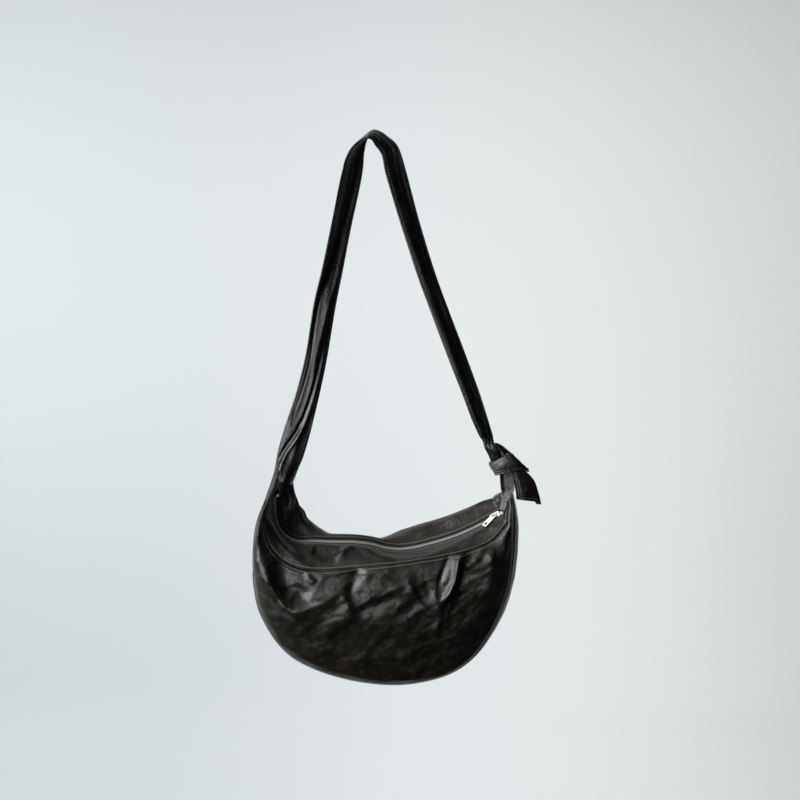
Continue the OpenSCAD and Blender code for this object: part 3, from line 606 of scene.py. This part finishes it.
def make_tooth():
    """One tooth: a small block that tapers to its nose, with worn edges. y runs to the nose."""
    deselect()
    bpy.ops.mesh.primitive_cube_add(size=1, location=(0, (TOOTH_NOSE - TOOTH_LEG) / 2 * MM, 0))
    tooth = bpy.context.active_object
    tooth.scale = (TOOTH_L * MM, (TOOTH_LEG + TOOTH_NOSE) * MM, TOOTH_H * MM)
    bpy.ops.object.transform_apply(location=True, rotation=True, scale=True)
    bpy.context.tool_settings.mesh_select_mode = (False, False, True)
    edit_all(tooth, lambda: bpy.ops.mesh.select_all(action="DESELECT"))
    for face in tooth.data.polygons:
        face.select = face.normal[1] > 0.9
    bpy.ops.object.mode_set(mode="EDIT")
    bpy.ops.transform.resize(value=(0.75, 1, 0.62))
    bpy.ops.mesh.select_all(action="SELECT")
    bpy.ops.mesh.bevel(offset=0.22 * MM, segments=1, affect="EDGES")
    bpy.ops.object.mode_set(mode="OBJECT")
    return tooth


def chain(name, side):
    start = CHAIN_START + (0.5 * TOOTH_PITCH if side > 0 else 0)
    count = int((SLIDER_AT + 0.1 * SLIDER_L - CHAIN_START) / TOOTH_PITCH)
    s = (start + TOOTH_PITCH * np.arange(count)) / PATH_LENGTH
    place, heading = zip_line(s)
    along = xyz(np.cos(heading), 0 * heading, np.sin(heading))
    return scatter(name, tooth_model, place, along * -side, normal_dir(heading))


tooth_model = make_tooth()
front_teeth, back_teeth = chain("front_teeth_chain", -1), chain("back_teeth_chain", 1)
bpy.data.objects.remove(tooth_model)

# ---- Strap ----
# x as a share of the body's width, z as a share of the strap's drop, the width as a share of the
# strap's, the turn of the width away from x in degrees, and y as a share of the strap's width where
# it isn't 0. Then the droop of the edges at each row, as a share of APEX_DROOP.
STRAP_SHARES = [
    [-0.339, -1.042, 0.81, 6], [-0.330, -1.020, 0.84, 4], [-0.321, -0.994, 0.89, 1],
    [-0.306, -0.954, 0.99, -2], [-0.281, -0.885, 0.99, 0], [-0.264, -0.837, 0.94, 4],
    [-0.239, -0.763, 0.87, 10], [-0.208, -0.652, 0.83, 18], [-0.178, -0.506, 0.86, 24],
    [-0.149, -0.398, 0.87, 34], [-0.113, -0.255, 0.93, 44], [-0.076, -0.113, 1.00, 44],
    [-0.065, -0.058, 1.00, 47], [-0.048, -0.021, 1.00, 56], [-0.020, 0.002, 1.00, 68],
    [-0.003, 0.008, 1.00, 78], [0.017, 0.003, 1.00, 72], [0.036, -0.012, 1.00, 62],
    [0.068, -0.044, 1.02, 52], [0.091, -0.113, 1.00, 42], [0.140, -0.255, 0.85, 34],
    [0.195, -0.398, 0.78, 30], [0.243, -0.506, 0.77, 30], [0.311, -0.652, 0.80, 32],
    [0.363, -0.763, 0.80, 36], [0.395, -0.837, 0.77, 38], [0.419, -0.893, 0.66, 38],
    [0.4285, -0.9155, 0.42, 12, -0.10], [0.434, -0.938, 0.40, -30, -0.20],
    [0.449, -0.961, 0.46, -38, -0.15], [0.464, -0.991, 0.44, -28, 0.03]]
STRAP_DROOPS = [0, 0, 0.1] + 23 * [0.2] + [0.1] + 4 * [0.05]
STRAP_ROWS = np.array([
    [x * BODY_W, sum(y) * STRAP_W, z * STRAP_DROP + STRAP_LAYER_T, width * STRAP_W, turn, droop * APEX_DROOP]
    for (x, z, width, turn, *y), droop in zip(STRAP_SHARES, STRAP_DROOPS)])


def ribbon_face(rows, t, q, lift):
    """A point on a ribbon at t along it and q from -1 to 1 across it. Each row holds the centre,
    the width, the turn away from x in degrees, and the cup. Where it lies flat over its top, it
    runs over at a slant, with its near edge lower."""
    row = spline(rows, t)
    step = 0.004
    run = unit(spline(rows, np.minimum(t + step, 1))[:, :3] - spline(rows, np.maximum(t - step, 0))[:, :3])
    turn = np.radians(row[:, 4])
    upright = smoothstep(-5, -110, row[:, 2])
    level = xyz(np.cos(turn), np.sin(turn), 0.5 * (1 - upright) ** 2)
    across = unit(level - run * (np.sum(level * run, 1) * upright)[:, None])
    out = unit(np.cross(run, across))
    return row[:, :3] + across * (q * row[:, 3] / 2)[:, None] + out * (lift - row[:, 5] * q * q)[:, None]


# How the strap is creased along its length: at each share of its rows, the valley's place across
# it and depth, then the ridge's place and height, towards the eye.
STRAP_CREASES = np.array([
    [0.00, -0.98, 0.0, 0.20, 1.5], [0.13, -0.98, 0.0, 0.20, 3.5], [0.20, -0.97, 0.0, 0.25, 4.8],
    [0.233, -0.75, 0.6, -0.10, 4.6], [0.267, -0.52, 1.4, 0.28, 4.4], [0.30, -0.12, 2.4, 0.60, 3.0],
    [0.333, 0.45, 3.0, 0.84, 1.6], [0.367, 0.58, 3.0, 0.88, 1.3], [0.40, 0.60, 2.0, 0.90, 1.0],
    [0.45, 0.60, 0.5, 0.90, 0.3], [0.50, 0.0, 0.0, 0.5, 0.0], [0.55, -0.98, 0.0, -0.60, 0.8],
    [0.60, -0.98, 0.0, -0.60, 1.2], [0.67, -0.98, 0.0, -0.66, 1.4], [0.72, -0.98, 0.0, -0.72, 1.5],
    [0.78, -0.98, 0.0, -0.80, 1.4], [0.86, -0.98, 0.0, -0.84, 2.0], [1.00, -0.98, 0.0, -0.86, 1.0]])


def strap_crease(t, q):
    """Towards the eye: down into the valley, up to the ridge, and back to the edge."""
    valley, deep, ridge, high = (np.interp(t, STRAP_CREASES[:, 0], column) for column in STRAP_CREASES.T[1:])
    lift = 0
    for shift, share in ((-0.1, 0.25), (0, 0.5), (0.1, 0.25)):
        x = np.clip(q + shift, -1, 1)
        left = -deep * (x + 1) / (valley + 1)
        middle = mix(-deep, high, (x - valley) / (ridge - valley))
        right = high * (1 - x) / (1 - ridge)
        lift = lift + share * np.where(x < valley, left, np.where(x < ridge, middle, right))
    return lift * smoothstep(0, 0.12, 1 - np.abs(q))


def strap_face(t, v, side):
    """The outer face of one of the strap's layers: the leather is folded softly along its length
    and pulled in along its stitching."""
    q = 2 * v - 1
    edge = (1 - np.abs(q)) * STRAP_W / 2
    wander = 0.30 * np.sin(t * 23) + 0.15 * np.sin(t * 61 + 1)
    groove = np.interp(t, [0, 0.067, 0.1, 0.133, 0.18, 0.26], [-0.95, -0.8, -0.55, 0.05, 0.25, 0.45])
    deep = smoothstep(0.27, 0.16, t)
    towards = np.where(t < 0.5, -1, 1)
    soft = 0.6 * bell(q - 0.2 - 0.4 * wander, 0.12) * np.sin(t * 17 + 2)
    soft -= 0.7 * bell(q + 0.45 - 0.5 * wander, 0.10) * np.cos(t * 13)
    soft += towards * (strap_crease(t, q) + deep * (2.0 * bell(q - groove - 0.28, 0.18)
                                                    - 2.4 * bell(q - groove, 0.16)))
    place = xyz(t * STRAP_L, q * STRAP_W / 2, 0 * t)
    soft += 0.8 * lumps(place * [0.6, 1, 1], 30, 5) + 0.6 * lumps(place * [0.25, 1, 1], 7, 8)
    # the strap lies flat and calm where it hangs over its top
    soft *= smoothstep(0, 3, edge) * (1 - 0.8 * bell(t - 0.48, 0.05))
    face_at = STRAP_LAYER_T * np.sqrt(smoothstep(-0.4, 1.4, edge)) - 0.35 * bell(edge - 3, 0.8)
    # and it opens into a collar round the bag's neck
    face_at += 14.5 * smoothstep(0.15, 0.0, t) * np.sqrt(np.clip(1 - q * q, 0, 1))
    return ribbon_face(STRAP_ROWS, t, q, soft + side * face_at)


strap_outer, strap_inner = (
    grid_piece(name, on_side(strap_face, side), 720, 50, spread=0.4, thickness=STRAP_LAYER_T * 0.85,
               offset=-side, rounds=2)
    for name, side in (("strap_outer_leather", 1), ("strap_inner_leather", -1)))

# ---- Knot ----
# The band's upper and lower edges in front and behind: (x, upper z, lower z) from its left fold to
# its point.
BAND_EDGES = np.array([
    [149, -404.7, -411], [150.3, -403.5, -415], [154.8, -400.5, -421.9], [158.6, -397.5, -421.2],
    [161.7, -396, -420.2], [166.2, -393.8, -419], [171.5, -392, -417.5], [174.5, -391.4, -417],
    [180.1, -393.7, -416], [186.7, -399.8, -414.8], [193, -406.8, -415.7], [198, -412.5, -417.2],
    [200.5, -415.5, -419]])
BAND_BEHIND = np.array([
    [149, -404.7, -411], [156, -399, -416], [172, -398, -417], [182, -402, -417], [190, -409, -417.5],
    [196, -414, -418.5], [200.5, -415.5, -419]])
BAND_MIDDLE = np.array([(BAND_EDGES[0, 0] + BAND_EDGES[-1, 0]) / 2, 0, 0])
BAND_HALF = (BAND_EDGES[-1, 0] - BAND_EDGES[0, 0]) / 2


def band_face(u, v):
    """The band's outer face: u goes round the knot, v from its lower to its upper edge."""
    a = u * 2 * np.pi
    oval = xyz(KNOT_W / 2 * np.cos(a), KNOT_D / 2 * np.sin(a), 0 * a)
    rim = smoothstep(0.86, 1.0, v) ** 2
    blunt = smoothstep(0.95, 0.5, np.cos(a))
    p = BAND_MIDDLE + oval * (1.03 - (0.22 * rim + 0.3 * (v - 0.4) ** 2) * blunt)[:, None]
    x = BAND_MIDDLE[0] + BAND_HALF * np.cos(a)
    in_front = smoothstep(0.15, -0.15, np.sin(a))
    upper, lower = (mix(*(np.interp(x, rows[:, 0], rows[:, k]) for rows in (BAND_BEHIND, BAND_EDGES)),
                        in_front) for k in (1, 2))
    p[:, 2] = mix(lower, upper, v)
    ring = xyz(30 * np.cos(a), 30 * np.sin(a), v * 30)
    up = v * (upper - lower)
    seams = bell(up - 3.0, 0.7) + 0.7 * bell(up - 5.6, 0.7)
    relief = 1.0 * lumps(ring, 16, 4) + 0.4 * lumps(ring, 6, 9) - 0.9 * seams * in_front
    return p + unit(oval) * relief[:, None]


band = grid_piece("knot_band_leather", band_face, 150, 34, outwards_from(KNOT_AT), thickness=1.8,
                  closed=True, rounds=1)

# The knot's inner turns, and the turn that rises above it: [centre, half width, half depth], as
# shares of the knot's sizes, from the top down.
CORE = [[-0.06, 0.09, 0.15, 0.20, 0.16], [-0.06, 0.09, 0.05, 0.28, 0.22], [-0.01, 0.09, -0.12, 0.34, 0.24],
        [0.02, 0.09, -0.28, 0.38, 0.24], [0.03, 0.08, -0.42, 0.36, 0.18]]
HUMP = [[-0.38, 0.12, 0.97, 0.06, 0.10], [-0.30, 0.14, 0.80, 0.13, 0.16], [-0.20, 0.13, 0.58, 0.18, 0.21],
        [-0.11, 0.10, 0.36, 0.22, 0.23], [-0.06, 0.09, 0.17, 0.22, 0.23]]


def lump_face(rows, u, v):
    """A rounded, closed lump of folded leather."""
    row = spline(rows, v)
    a = u * 2 * np.pi
    round_end = np.sqrt(np.clip(1 - (2 * v - 1) ** 8, 0, 1))
    oval = xyz(row[:, 3] * KNOT_W * np.cos(a), row[:, 4] * KNOT_D * np.sin(a), 0 * a)
    return KNOT_AT + row[:, :3] * [KNOT_W, KNOT_D, KNOT_BAND] + oval * round_end[:, None]


core = grid_piece("knot_core_leather", lambda u, v: lump_face(CORE, u, v), 40, 24, outwards_from(KNOT_AT),
                  closed=True)
hump = grid_piece("knot_turn_leather", lambda u, v: lump_face(HUMP, u, v), 48, 36,
                  outwards_from(KNOT_AT + [-8, 3, 16]), closed=True)

# The tail's left and right edges, and the tab's middle line with its width, turn and cup.
TAIL_LEFT = [[176.5, -8, -406], [177, -13, -417.6], [178.8, -18.5, -428], [180.6, -20.5, -439],
             [182.2, -21.5, -450]]
TAIL_RIGHT = [[187, -6, -409], [196.5, -10, -417.5], [205, -14, -427], [209.8, -16.5, -440],
              [213.7, -18, -454.4]]
TAB_ROWS = [[170.5, -3, -412, 17, -8, 0], [171.8, -4, -424, 18, -12, 0], [172.6, -5, -438, 17.5, -20, 0],
            [172.4, -5.5, -445, 15, -28, 0], [170.5, -6, -451, 12, -34, 0], [168.7, -6.5, -459, 9.2, -36, 0],
            [166.4, -6.5, -468, 7.6, -36, 0]]


def tail_face(t, v):
    """The tail's front, with grooves where it is sewn and a corner that flicks up at its end."""
    p = mix(spline(TAIL_LEFT, t), spline(TAIL_RIGHT, t), v[:, None])
    place = xyz(t * TAIL_L, (2 * v - 1) * TAIL_W / 2, 0 * t)
    seams = bell(v * 30 - 3, 0.6) + bell(v * 30 - 6, 0.6) + bell((1 - t) * 48 - 4, 0.8)
    flick = smoothstep(0.90, 1, t) * smoothstep(0.72, 0.8, v)
    p[:, 1] -= 1.5 + 1.1 * lumps(place, 22, 3) + 0.5 * lumps(place, 8, 6) + 1.5 * np.sin(np.pi * v) \
        - 0.5 * seams + 2.0 * flick
    p[:, 2] -= 2.4 * flick
    return p


def tab_face(t, v):
    """The tab's front, with the fold along its left half where it enters the knot."""
    q = 2 * v - 1
    place = xyz(t * 40, q * TAB_W / 2, 0 * t)
    fold = 2.2 * smoothstep(0.75, 0.4, t) * bell(q + 0.62, 0.16)
    return ribbon_face(TAB_ROWS, t, q, TAB_T / 2 + 0.6 * lumps(place, 9, 3) - fold)


tail = grid_piece("strap_tail_leather", tail_face, 70, 44, to_front, thickness=2.4, rounds=1)
tab = grid_piece("corner_tab_leather", tab_face, 60, 24, to_front, thickness=2.4)


# ---- Threads: one stitch, copied along every seam ----
def stitch_row(face, from_t, to_t, v_at, outwards, pitch=3.8):
    """Places and directions of the stitches along a row of a face, which runs at v_at(t)."""
    t = np.linspace(from_t, to_t, 1200)
    p = face(t, v_at(t))
    run = np.concatenate([[0], np.cumsum(np.linalg.norm(np.diff(p, axis=0), axis=1))])
    at = np.interp((np.arange(int(run[-1] / pitch)) + 0.5) * pitch, run, t)
    here = face(at, v_at(at))
    ahead = face(at + 0.0015, v_at(at + 0.0015)) - here
    side = face(at, v_at(at) + 0.01) - here
    normal = unit(np.cross(ahead, side))
    normal *= np.sign(np.sum(normal * outwards(here), 1, keepdims=True))
    return here + normal * 0.2, unit(ahead), normal


def sew(name, rows):
    origins, runs, normals = (np.concatenate(part) for part in zip(*rows))
    return scatter(name, stitch_model, origins, runs, normals)


deselect()
bpy.ops.mesh.primitive_uv_sphere_add(segments=6, ring_count=4, radius=0.5)
stitch_model = bpy.context.active_object
stitch_model.rotation_euler = (0, math.radians(90), 0)
bpy.ops.object.transform_apply(location=True, rotation=True, scale=True)
stitch_model.scale = (2.9 * MM, 0.95 * MM, 0.75 * MM)
bpy.ops.object.transform_apply(location=True, rotation=True, scale=True)


# Where a row runs: at a fixed v, or d millimetres from a face's first edge, its last edge, a facing's
# edge beside the teeth, or the gusset's seam.
def fixed(v):
    return lambda t: v + 0 * t


def from_first(reach, side, d):
    return lambda t: d / reach(t, side)


def from_last(reach, side, d):
    return lambda t: 1 - d / reach(t, side)


def facing_edge(side, d):
    return lambda t: d / (facing_reach(t, side) - np.minimum(MOUTH_HALF, 0.3 * facing_reach(t, side)))


def gusset_row(side, d):
    def v_at(t):
        low = body_lines(t)[4]
        share = d / np.linalg.norm(low[1] - low[-1], axis=1) / 1.3
        return share if side < 0 else 1 - share
    return v_at


front_threads, back_threads = (
    sew(name, [
        stitch_row(on_side(panel_face, side), 0.03, 0.965, from_first(panel_reach, side, 2.4), out),
        stitch_row(on_side(facing_face, side), 0.03, 0.965, from_last(facing_reach, side, 2.4), to_sky),
        stitch_row(on_side(panel_face, side), low_from, 0.97, from_last(panel_reach, side, 3.3), out),
        stitch_row(gusset_face, 0.05, 0.97, gusset_row(side, 3.3), from_middle)])
    for name, side, low_from, out in (("front_seam_threads", -1, 0.66, to_front),
                                      ("back_seam_threads", 1, 0.05, to_back)))
zip_threads = sew("zip_seam_threads", [
    stitch_row(on_side(facing_face, side), 0.06, 0.95, facing_edge(side, 2.6), to_sky)
    for side in (-1, 1)])


def strap_out(side):
    """Out of the strap's loop for its outer layer, and into the loop for its inner one."""
    return lambda p: side * outwards_from((20, 0, -230))(p)


strap_threads = sew("strap_edge_threads", [
    stitch_row(on_side(strap_face, side), 0.02, 0.93, fixed(v), strap_out(side))
    for side in (1, -1) for v in (0.09, 0.91)])
knot_threads = sew("knot_seam_threads", [
    stitch_row(face, start, end, fixed(v), to_front, 3) for face, start, end, v in (
        (tail_face, 0.12, 0.97, 0.10), (tail_face, 0.12, 0.97, 0.20),
        (lambda v, t: tail_face(t, v), 0.06, 0.94, 0.92),
        (band_face, 0.52, 0.95, 0.13), (band_face, 0.52, 0.92, 0.23))])
bpy.data.objects.remove(stitch_model)


# ---- Materials ----
def linear(colour):
    """An sRGB hex colour in the linear values that Blender mixes."""
    parts = [int(colour[k:k + 2], 16) / 255 for k in (1, 3, 5)]
    return tuple(p / 12.92 if p <= 0.04045 else ((p + 0.055) / 1.055) ** 2.4 for p in parts) + (1,)


def new_material(name):
    material = bpy.data.materials.new(name)
    material.use_nodes = True
    tree = material.node_tree
    tree.nodes.clear()
    return material, tree


def add(tree, kind, inputs=None, **settings):
    """Adds a node with its settings, and links or sets its inputs."""
    node = tree.nodes.new("ShaderNode" + kind)
    for key, value in settings.items():
        setattr(node, key, value)
    for key, value in (inputs or {}).items():
        if isinstance(value, bpy.types.NodeSocket):
            tree.links.new(value, node.inputs[key])
        else:
            node.inputs[key].default_value = value
    return node


def washed_leather(name, dark, middle, light, gloss, wear=0.35):
    """Washed, waxed nappa: soft gloss that breaks up where the wash has dulled it, a fine pebble
    grain 1.3 mm wide, wash creases 4.5 mm apart, and cloudy brown with lighter rubbed mottles,
    in clouds of 75 mm and mottles of 11 mm."""
    material, tree = new_material(name)
    place = add(tree, "TexCoord").outputs["Object"]
    clouds = add(tree, "TexNoise", {"Vector": place, "Scale": 1 / (75 * MM), "Detail": 5, "Roughness": 0.62})
    mottle = add(tree, "TexNoise", {"Vector": place, "Scale": 1 / (11 * MM), "Detail": 4, "Roughness": 0.6})
    brown = add(tree, "MapRange", {"Value": clouds.outputs["Fac"], "From Min": 0.36, "From Max": 0.66})
    rubbed = add(tree, "MapRange", {"Value": mottle.outputs["Fac"], "From Min": 0.45, "From Max": 0.75,
                                    "To Max": wear})
    tint = add(tree, "Mix", {0: brown.outputs[0], 6: linear(dark), 7: linear(middle)}, data_type="RGBA")
    tint = add(tree, "Mix", {0: rubbed.outputs[0], 6: tint.outputs[2], 7: linear(light)}, data_type="RGBA")
    rough = add(tree, "MapRange", {"Value": mottle.outputs["Fac"], "From Min": 0.3, "From Max": 0.7,
                                   "To Min": gloss[0], "To Max": gloss[1]})
    pebbles = add(tree, "TexVoronoi", {"Vector": place, "Scale": 1 / (1.3 * MM)}, feature="SMOOTH_F1")
    creases = add(tree, "TexNoise", {"Vector": place, "Scale": 1 / (4.5 * MM), "Detail": 6,
                                     "Roughness": 0.65, "Distortion": 0.4})
    bump = add(tree, "Bump", {"Height": pebbles.outputs["Distance"], "Strength": 0.35, "Distance": 0.25 * MM})
    bump = add(tree, "Bump", {"Height": creases.outputs["Fac"], "Strength": 0.55, "Distance": 1.1 * MM,
                              "Normal": bump.outputs[0]})
    shader = add(tree, "BsdfPrincipled", {"Base Color": tint.outputs[2], "Roughness": rough.outputs[0],
                                          "Normal": bump.outputs[0], "Specular IOR Level": 0.5})
    add(tree, "OutputMaterial", {"Surface": shader.outputs[0]})
    return material


def woven_tape(name, colour, shade):
    """Polyester zip tape: a matt herringbone weave of fine threads, drawn at 1 mm so that it shows."""
    material, tree = new_material(name)
    place = add(tree, "TexCoord").outputs["UV"]
    threads = add(tree, "Mapping", {"Vector": place, "Scale": (330, 10, 1)}).outputs[0]
    weave = add(tree, "TexWave", {"Vector": threads, "Scale": 1.0, "Distortion": 0.6, "Detail": 1},
                bands_direction="DIAGONAL").outputs["Fac"]
    tint = add(tree, "Mix", {0: weave, 6: linear(shade), 7: linear(colour)}, data_type="RGBA")
    bump = add(tree, "Bump", {"Height": weave, "Strength": 0.6, "Distance": 0.2 * MM})
    shader = add(tree, "BsdfPrincipled", {"Base Color": tint.outputs[2], "Roughness": 0.85,
                                          "Normal": bump.outputs[0]})
    add(tree, "OutputMaterial", {"Surface": shader.outputs[0]})
    return material


def nickel_plate(name, colour, rough):
    """Nickel plate with the faint haze of handling, in patches of 4 mm."""
    material, tree = new_material(name)
    place = add(tree, "TexCoord").outputs["Object"]
    haze = add(tree, "TexNoise", {"Vector": place, "Scale": 1 / (4 * MM), "Detail": 3}).outputs["Fac"]
    roughness = add(tree, "MapRange", {"Value": haze, "To Min": rough * 0.7, "To Max": rough * 1.5})
    shader = add(tree, "BsdfPrincipled", {"Base Color": linear(colour), "Metallic": 1.0,
                                          "Roughness": roughness.outputs[0]})
    add(tree, "OutputMaterial", {"Surface": shader.outputs[0]})
    return material


def spun_fibre(name, colour, shade, rough, detail):
    """Polyester fibre, spun into thread or woven into lining: a matt mottle of two shades that
    changes every 1.2 mm, as the twist or the weave catches the light."""
    material, tree = new_material(name)
    place = add(tree, "TexCoord").outputs["Object"]
    twist = add(tree, "TexNoise", {"Vector": place, "Scale": 1 / (1.2 * MM), "Detail": detail}).outputs["Fac"]
    tint = add(tree, "Mix", {0: twist, 6: linear(shade), 7: linear(colour)}, data_type="RGBA")
    shader = add(tree, "BsdfPrincipled", {"Base Color": tint.outputs[2], "Roughness": rough})
    add(tree, "OutputMaterial", {"Surface": shader.outputs[0]})
    return material


body_leather = washed_leather("washed_brown_nappa", "#14110b", "#252017", "#403b31", (0.28, 0.44), wear=0.5)
# the strap is blacker and a little glossier, from handling
strap_leather = washed_leather("washed_strap_nappa", "#0d0c0c", "#191817", "#353331", (0.24, 0.38))
# the leather's rough inner side, which the knot's inner turns show
turned_leather = washed_leather("suede_side_leather", "#1d1a17", "#2b2723", "#403b35", (0.6, 0.8))
tape_weave = woven_tape("woven_zip_tape", "#181815", "#0d0d0c")
nickel = nickel_plate("polished_nickel", "#e2e0da", 0.22)
tooth_nickel = nickel_plate("tumbled_nickel", "#e4e3de", 0.34)
# waxed sewing thread, a shade lighter than the leather
thread = spun_fibre("waxed_thread", "#aeaca0", "#807e73", 0.55, 2)
quiet_thread = spun_fibre("dark_waxed_thread", "#625f57", "#48463f", 0.55, 2)
# plain woven lining with a faint sheen
cloth = spun_fibre("lining_weave", "#2b2927", "#1b1a18", 0.7, 1)


def dress(piece, material):
    piece.data.materials.clear()
    piece.data.materials.append(material)
    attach(piece, "bag")


for material, slot, pieces in (
        (body_leather, "leather", {"front_panel": front_panel, "back_panel": back_panel, "gusset": gusset,
                                   "front_facing": front_facing, "back_facing": back_facing,
                                   "knot_band_wrap": band, "strap_tail": tail}),
        (body_leather, "leather_edge", {"corner_tab": tab}),
        (strap_leather, "leather", {"strap_outer_layer": strap_outer, "knot_hump": hump}),
        (strap_leather, "leather_edge", {"strap_inner_layer": strap_inner}),
        (turned_leather, "leather_edge", {"knot_core": core}),
        (cloth, "lining", {"front_lining": front_lining, "back_lining": back_lining}),
        (tape_weave, "zip_tape", {"front_zip_tape": front_tape, "back_zip_tape": back_tape}),
        (tooth_nickel, "zip_metal", {"front_zip_teeth": front_teeth, "back_zip_teeth": back_teeth})):
    for node, piece in pieces.items():
        dress(piece, material)
        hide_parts(node)
for material, rows in ((thread, (front_threads, back_threads, zip_threads)),
                       (quiet_thread, (strap_threads, knot_threads))):
    for piece in rows:
        dress(piece, material)
for node, finish in (("zip_slider", nickel), ("zip_pull", nickel), ("zip_top_stops", tooth_nickel),
                     ("zip_bottom_stop", tooth_nickel)):
    for material_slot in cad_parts[node].material_slots:
        material_slot.material = finish

# ---- Floor, backdrop and light ----
# The floor's run from front to back, up into the backdrop: (y, z) in metres, and its width.
SWEEP = [(0.25, -1.7), (0.4, -1.7), (0.55, -1.69), (0.85, -1.64), (1.12, -1.42), (1.2, -1.1), (1.2, 0.2),
         (1.2, 1.6)]
SWEEP_W = 7


def sweep_face(u, v):
    line = spline(SWEEP, v)
    return xyz((u - 0.5) * SWEEP_W, line[:, 0], line[:, 1]) / MM


floor = grid_piece("floor_sweep", sweep_face, 4, 60)
# seamless studio paper: matt, pale and even
paper, tree = new_material("matt_backdrop_paper")
shader = add(tree, "BsdfPrincipled", {"Base Color": linear("#e9edee"), "Roughness": 0.9})
add(tree, "OutputMaterial", {"Surface": shader.outputs[0]})
floor.data.materials.append(paper)


def soft_light(name, place, target, size, power, colour="#ffffff", unseen_by=None):
    """A flat lamp at place that faces target, with its width and height in metres and its power in
    watts. unseen_by names the kind of ray that passes it by."""
    way = (Vector(target) - Vector(place)).to_track_quat("-Z", "Y").to_euler()
    bpy.ops.object.light_add(type="AREA", location=place, rotation=way)
    lamp = bpy.context.active_object
    lamp.name = name
    lamp.data.shape = "RECTANGLE"
    lamp.data.size, lamp.data.size_y = size
    lamp.data.energy = power
    lamp.data.color = linear(colour)[:3]
    if unseen_by:
        setattr(lamp, "visible_" + unseen_by, False)


# The main light from the left, and a weak one from above.
soft_light("key_softbox", (-1.75, -0.9, 0.15), (0, 0, -0.45), (1.5, 1.3), 68, "#f4f8fb")
soft_light("top_softbox", (-0.25, -0.75, 1.0), (0, 0, -0.3), (0.9, 0.7), 2)
# Two that only show as gloss: on the front's folds, and on the slider and its pull.
soft_light("front_softbox", (-0.85, -1.75, -0.3), (-0.05, 0, -0.55), (1.2, 0.7), 14, unseen_by="diffuse")
soft_light("metal_card", (-0.54, 0.54, 0.64), (0.1, 0, -0.5), (0.8, 0.6), 2.8, unseen_by="diffuse")
# Behind the bag, towards the backdrop, which it makes even.
soft_light("backdrop_softbox", (0.78, 0.5, -0.4), (0.78, 1.2, -0.4), (1.9, 2.6), 10, "#fffdf8",
           unseen_by="camera")

world = bpy.data.worlds.new("studio")
bpy.context.scene.world = world
world.use_nodes = True
tree = world.node_tree
tree.nodes.clear()
room = add(tree, "Background", {"Color": linear("#eef3f6"), "Strength": 0.02})
add(tree, "OutputWorld", {"Surface": room.outputs[0]})
bpy.context.scene.view_settings.view_transform = "Standard"
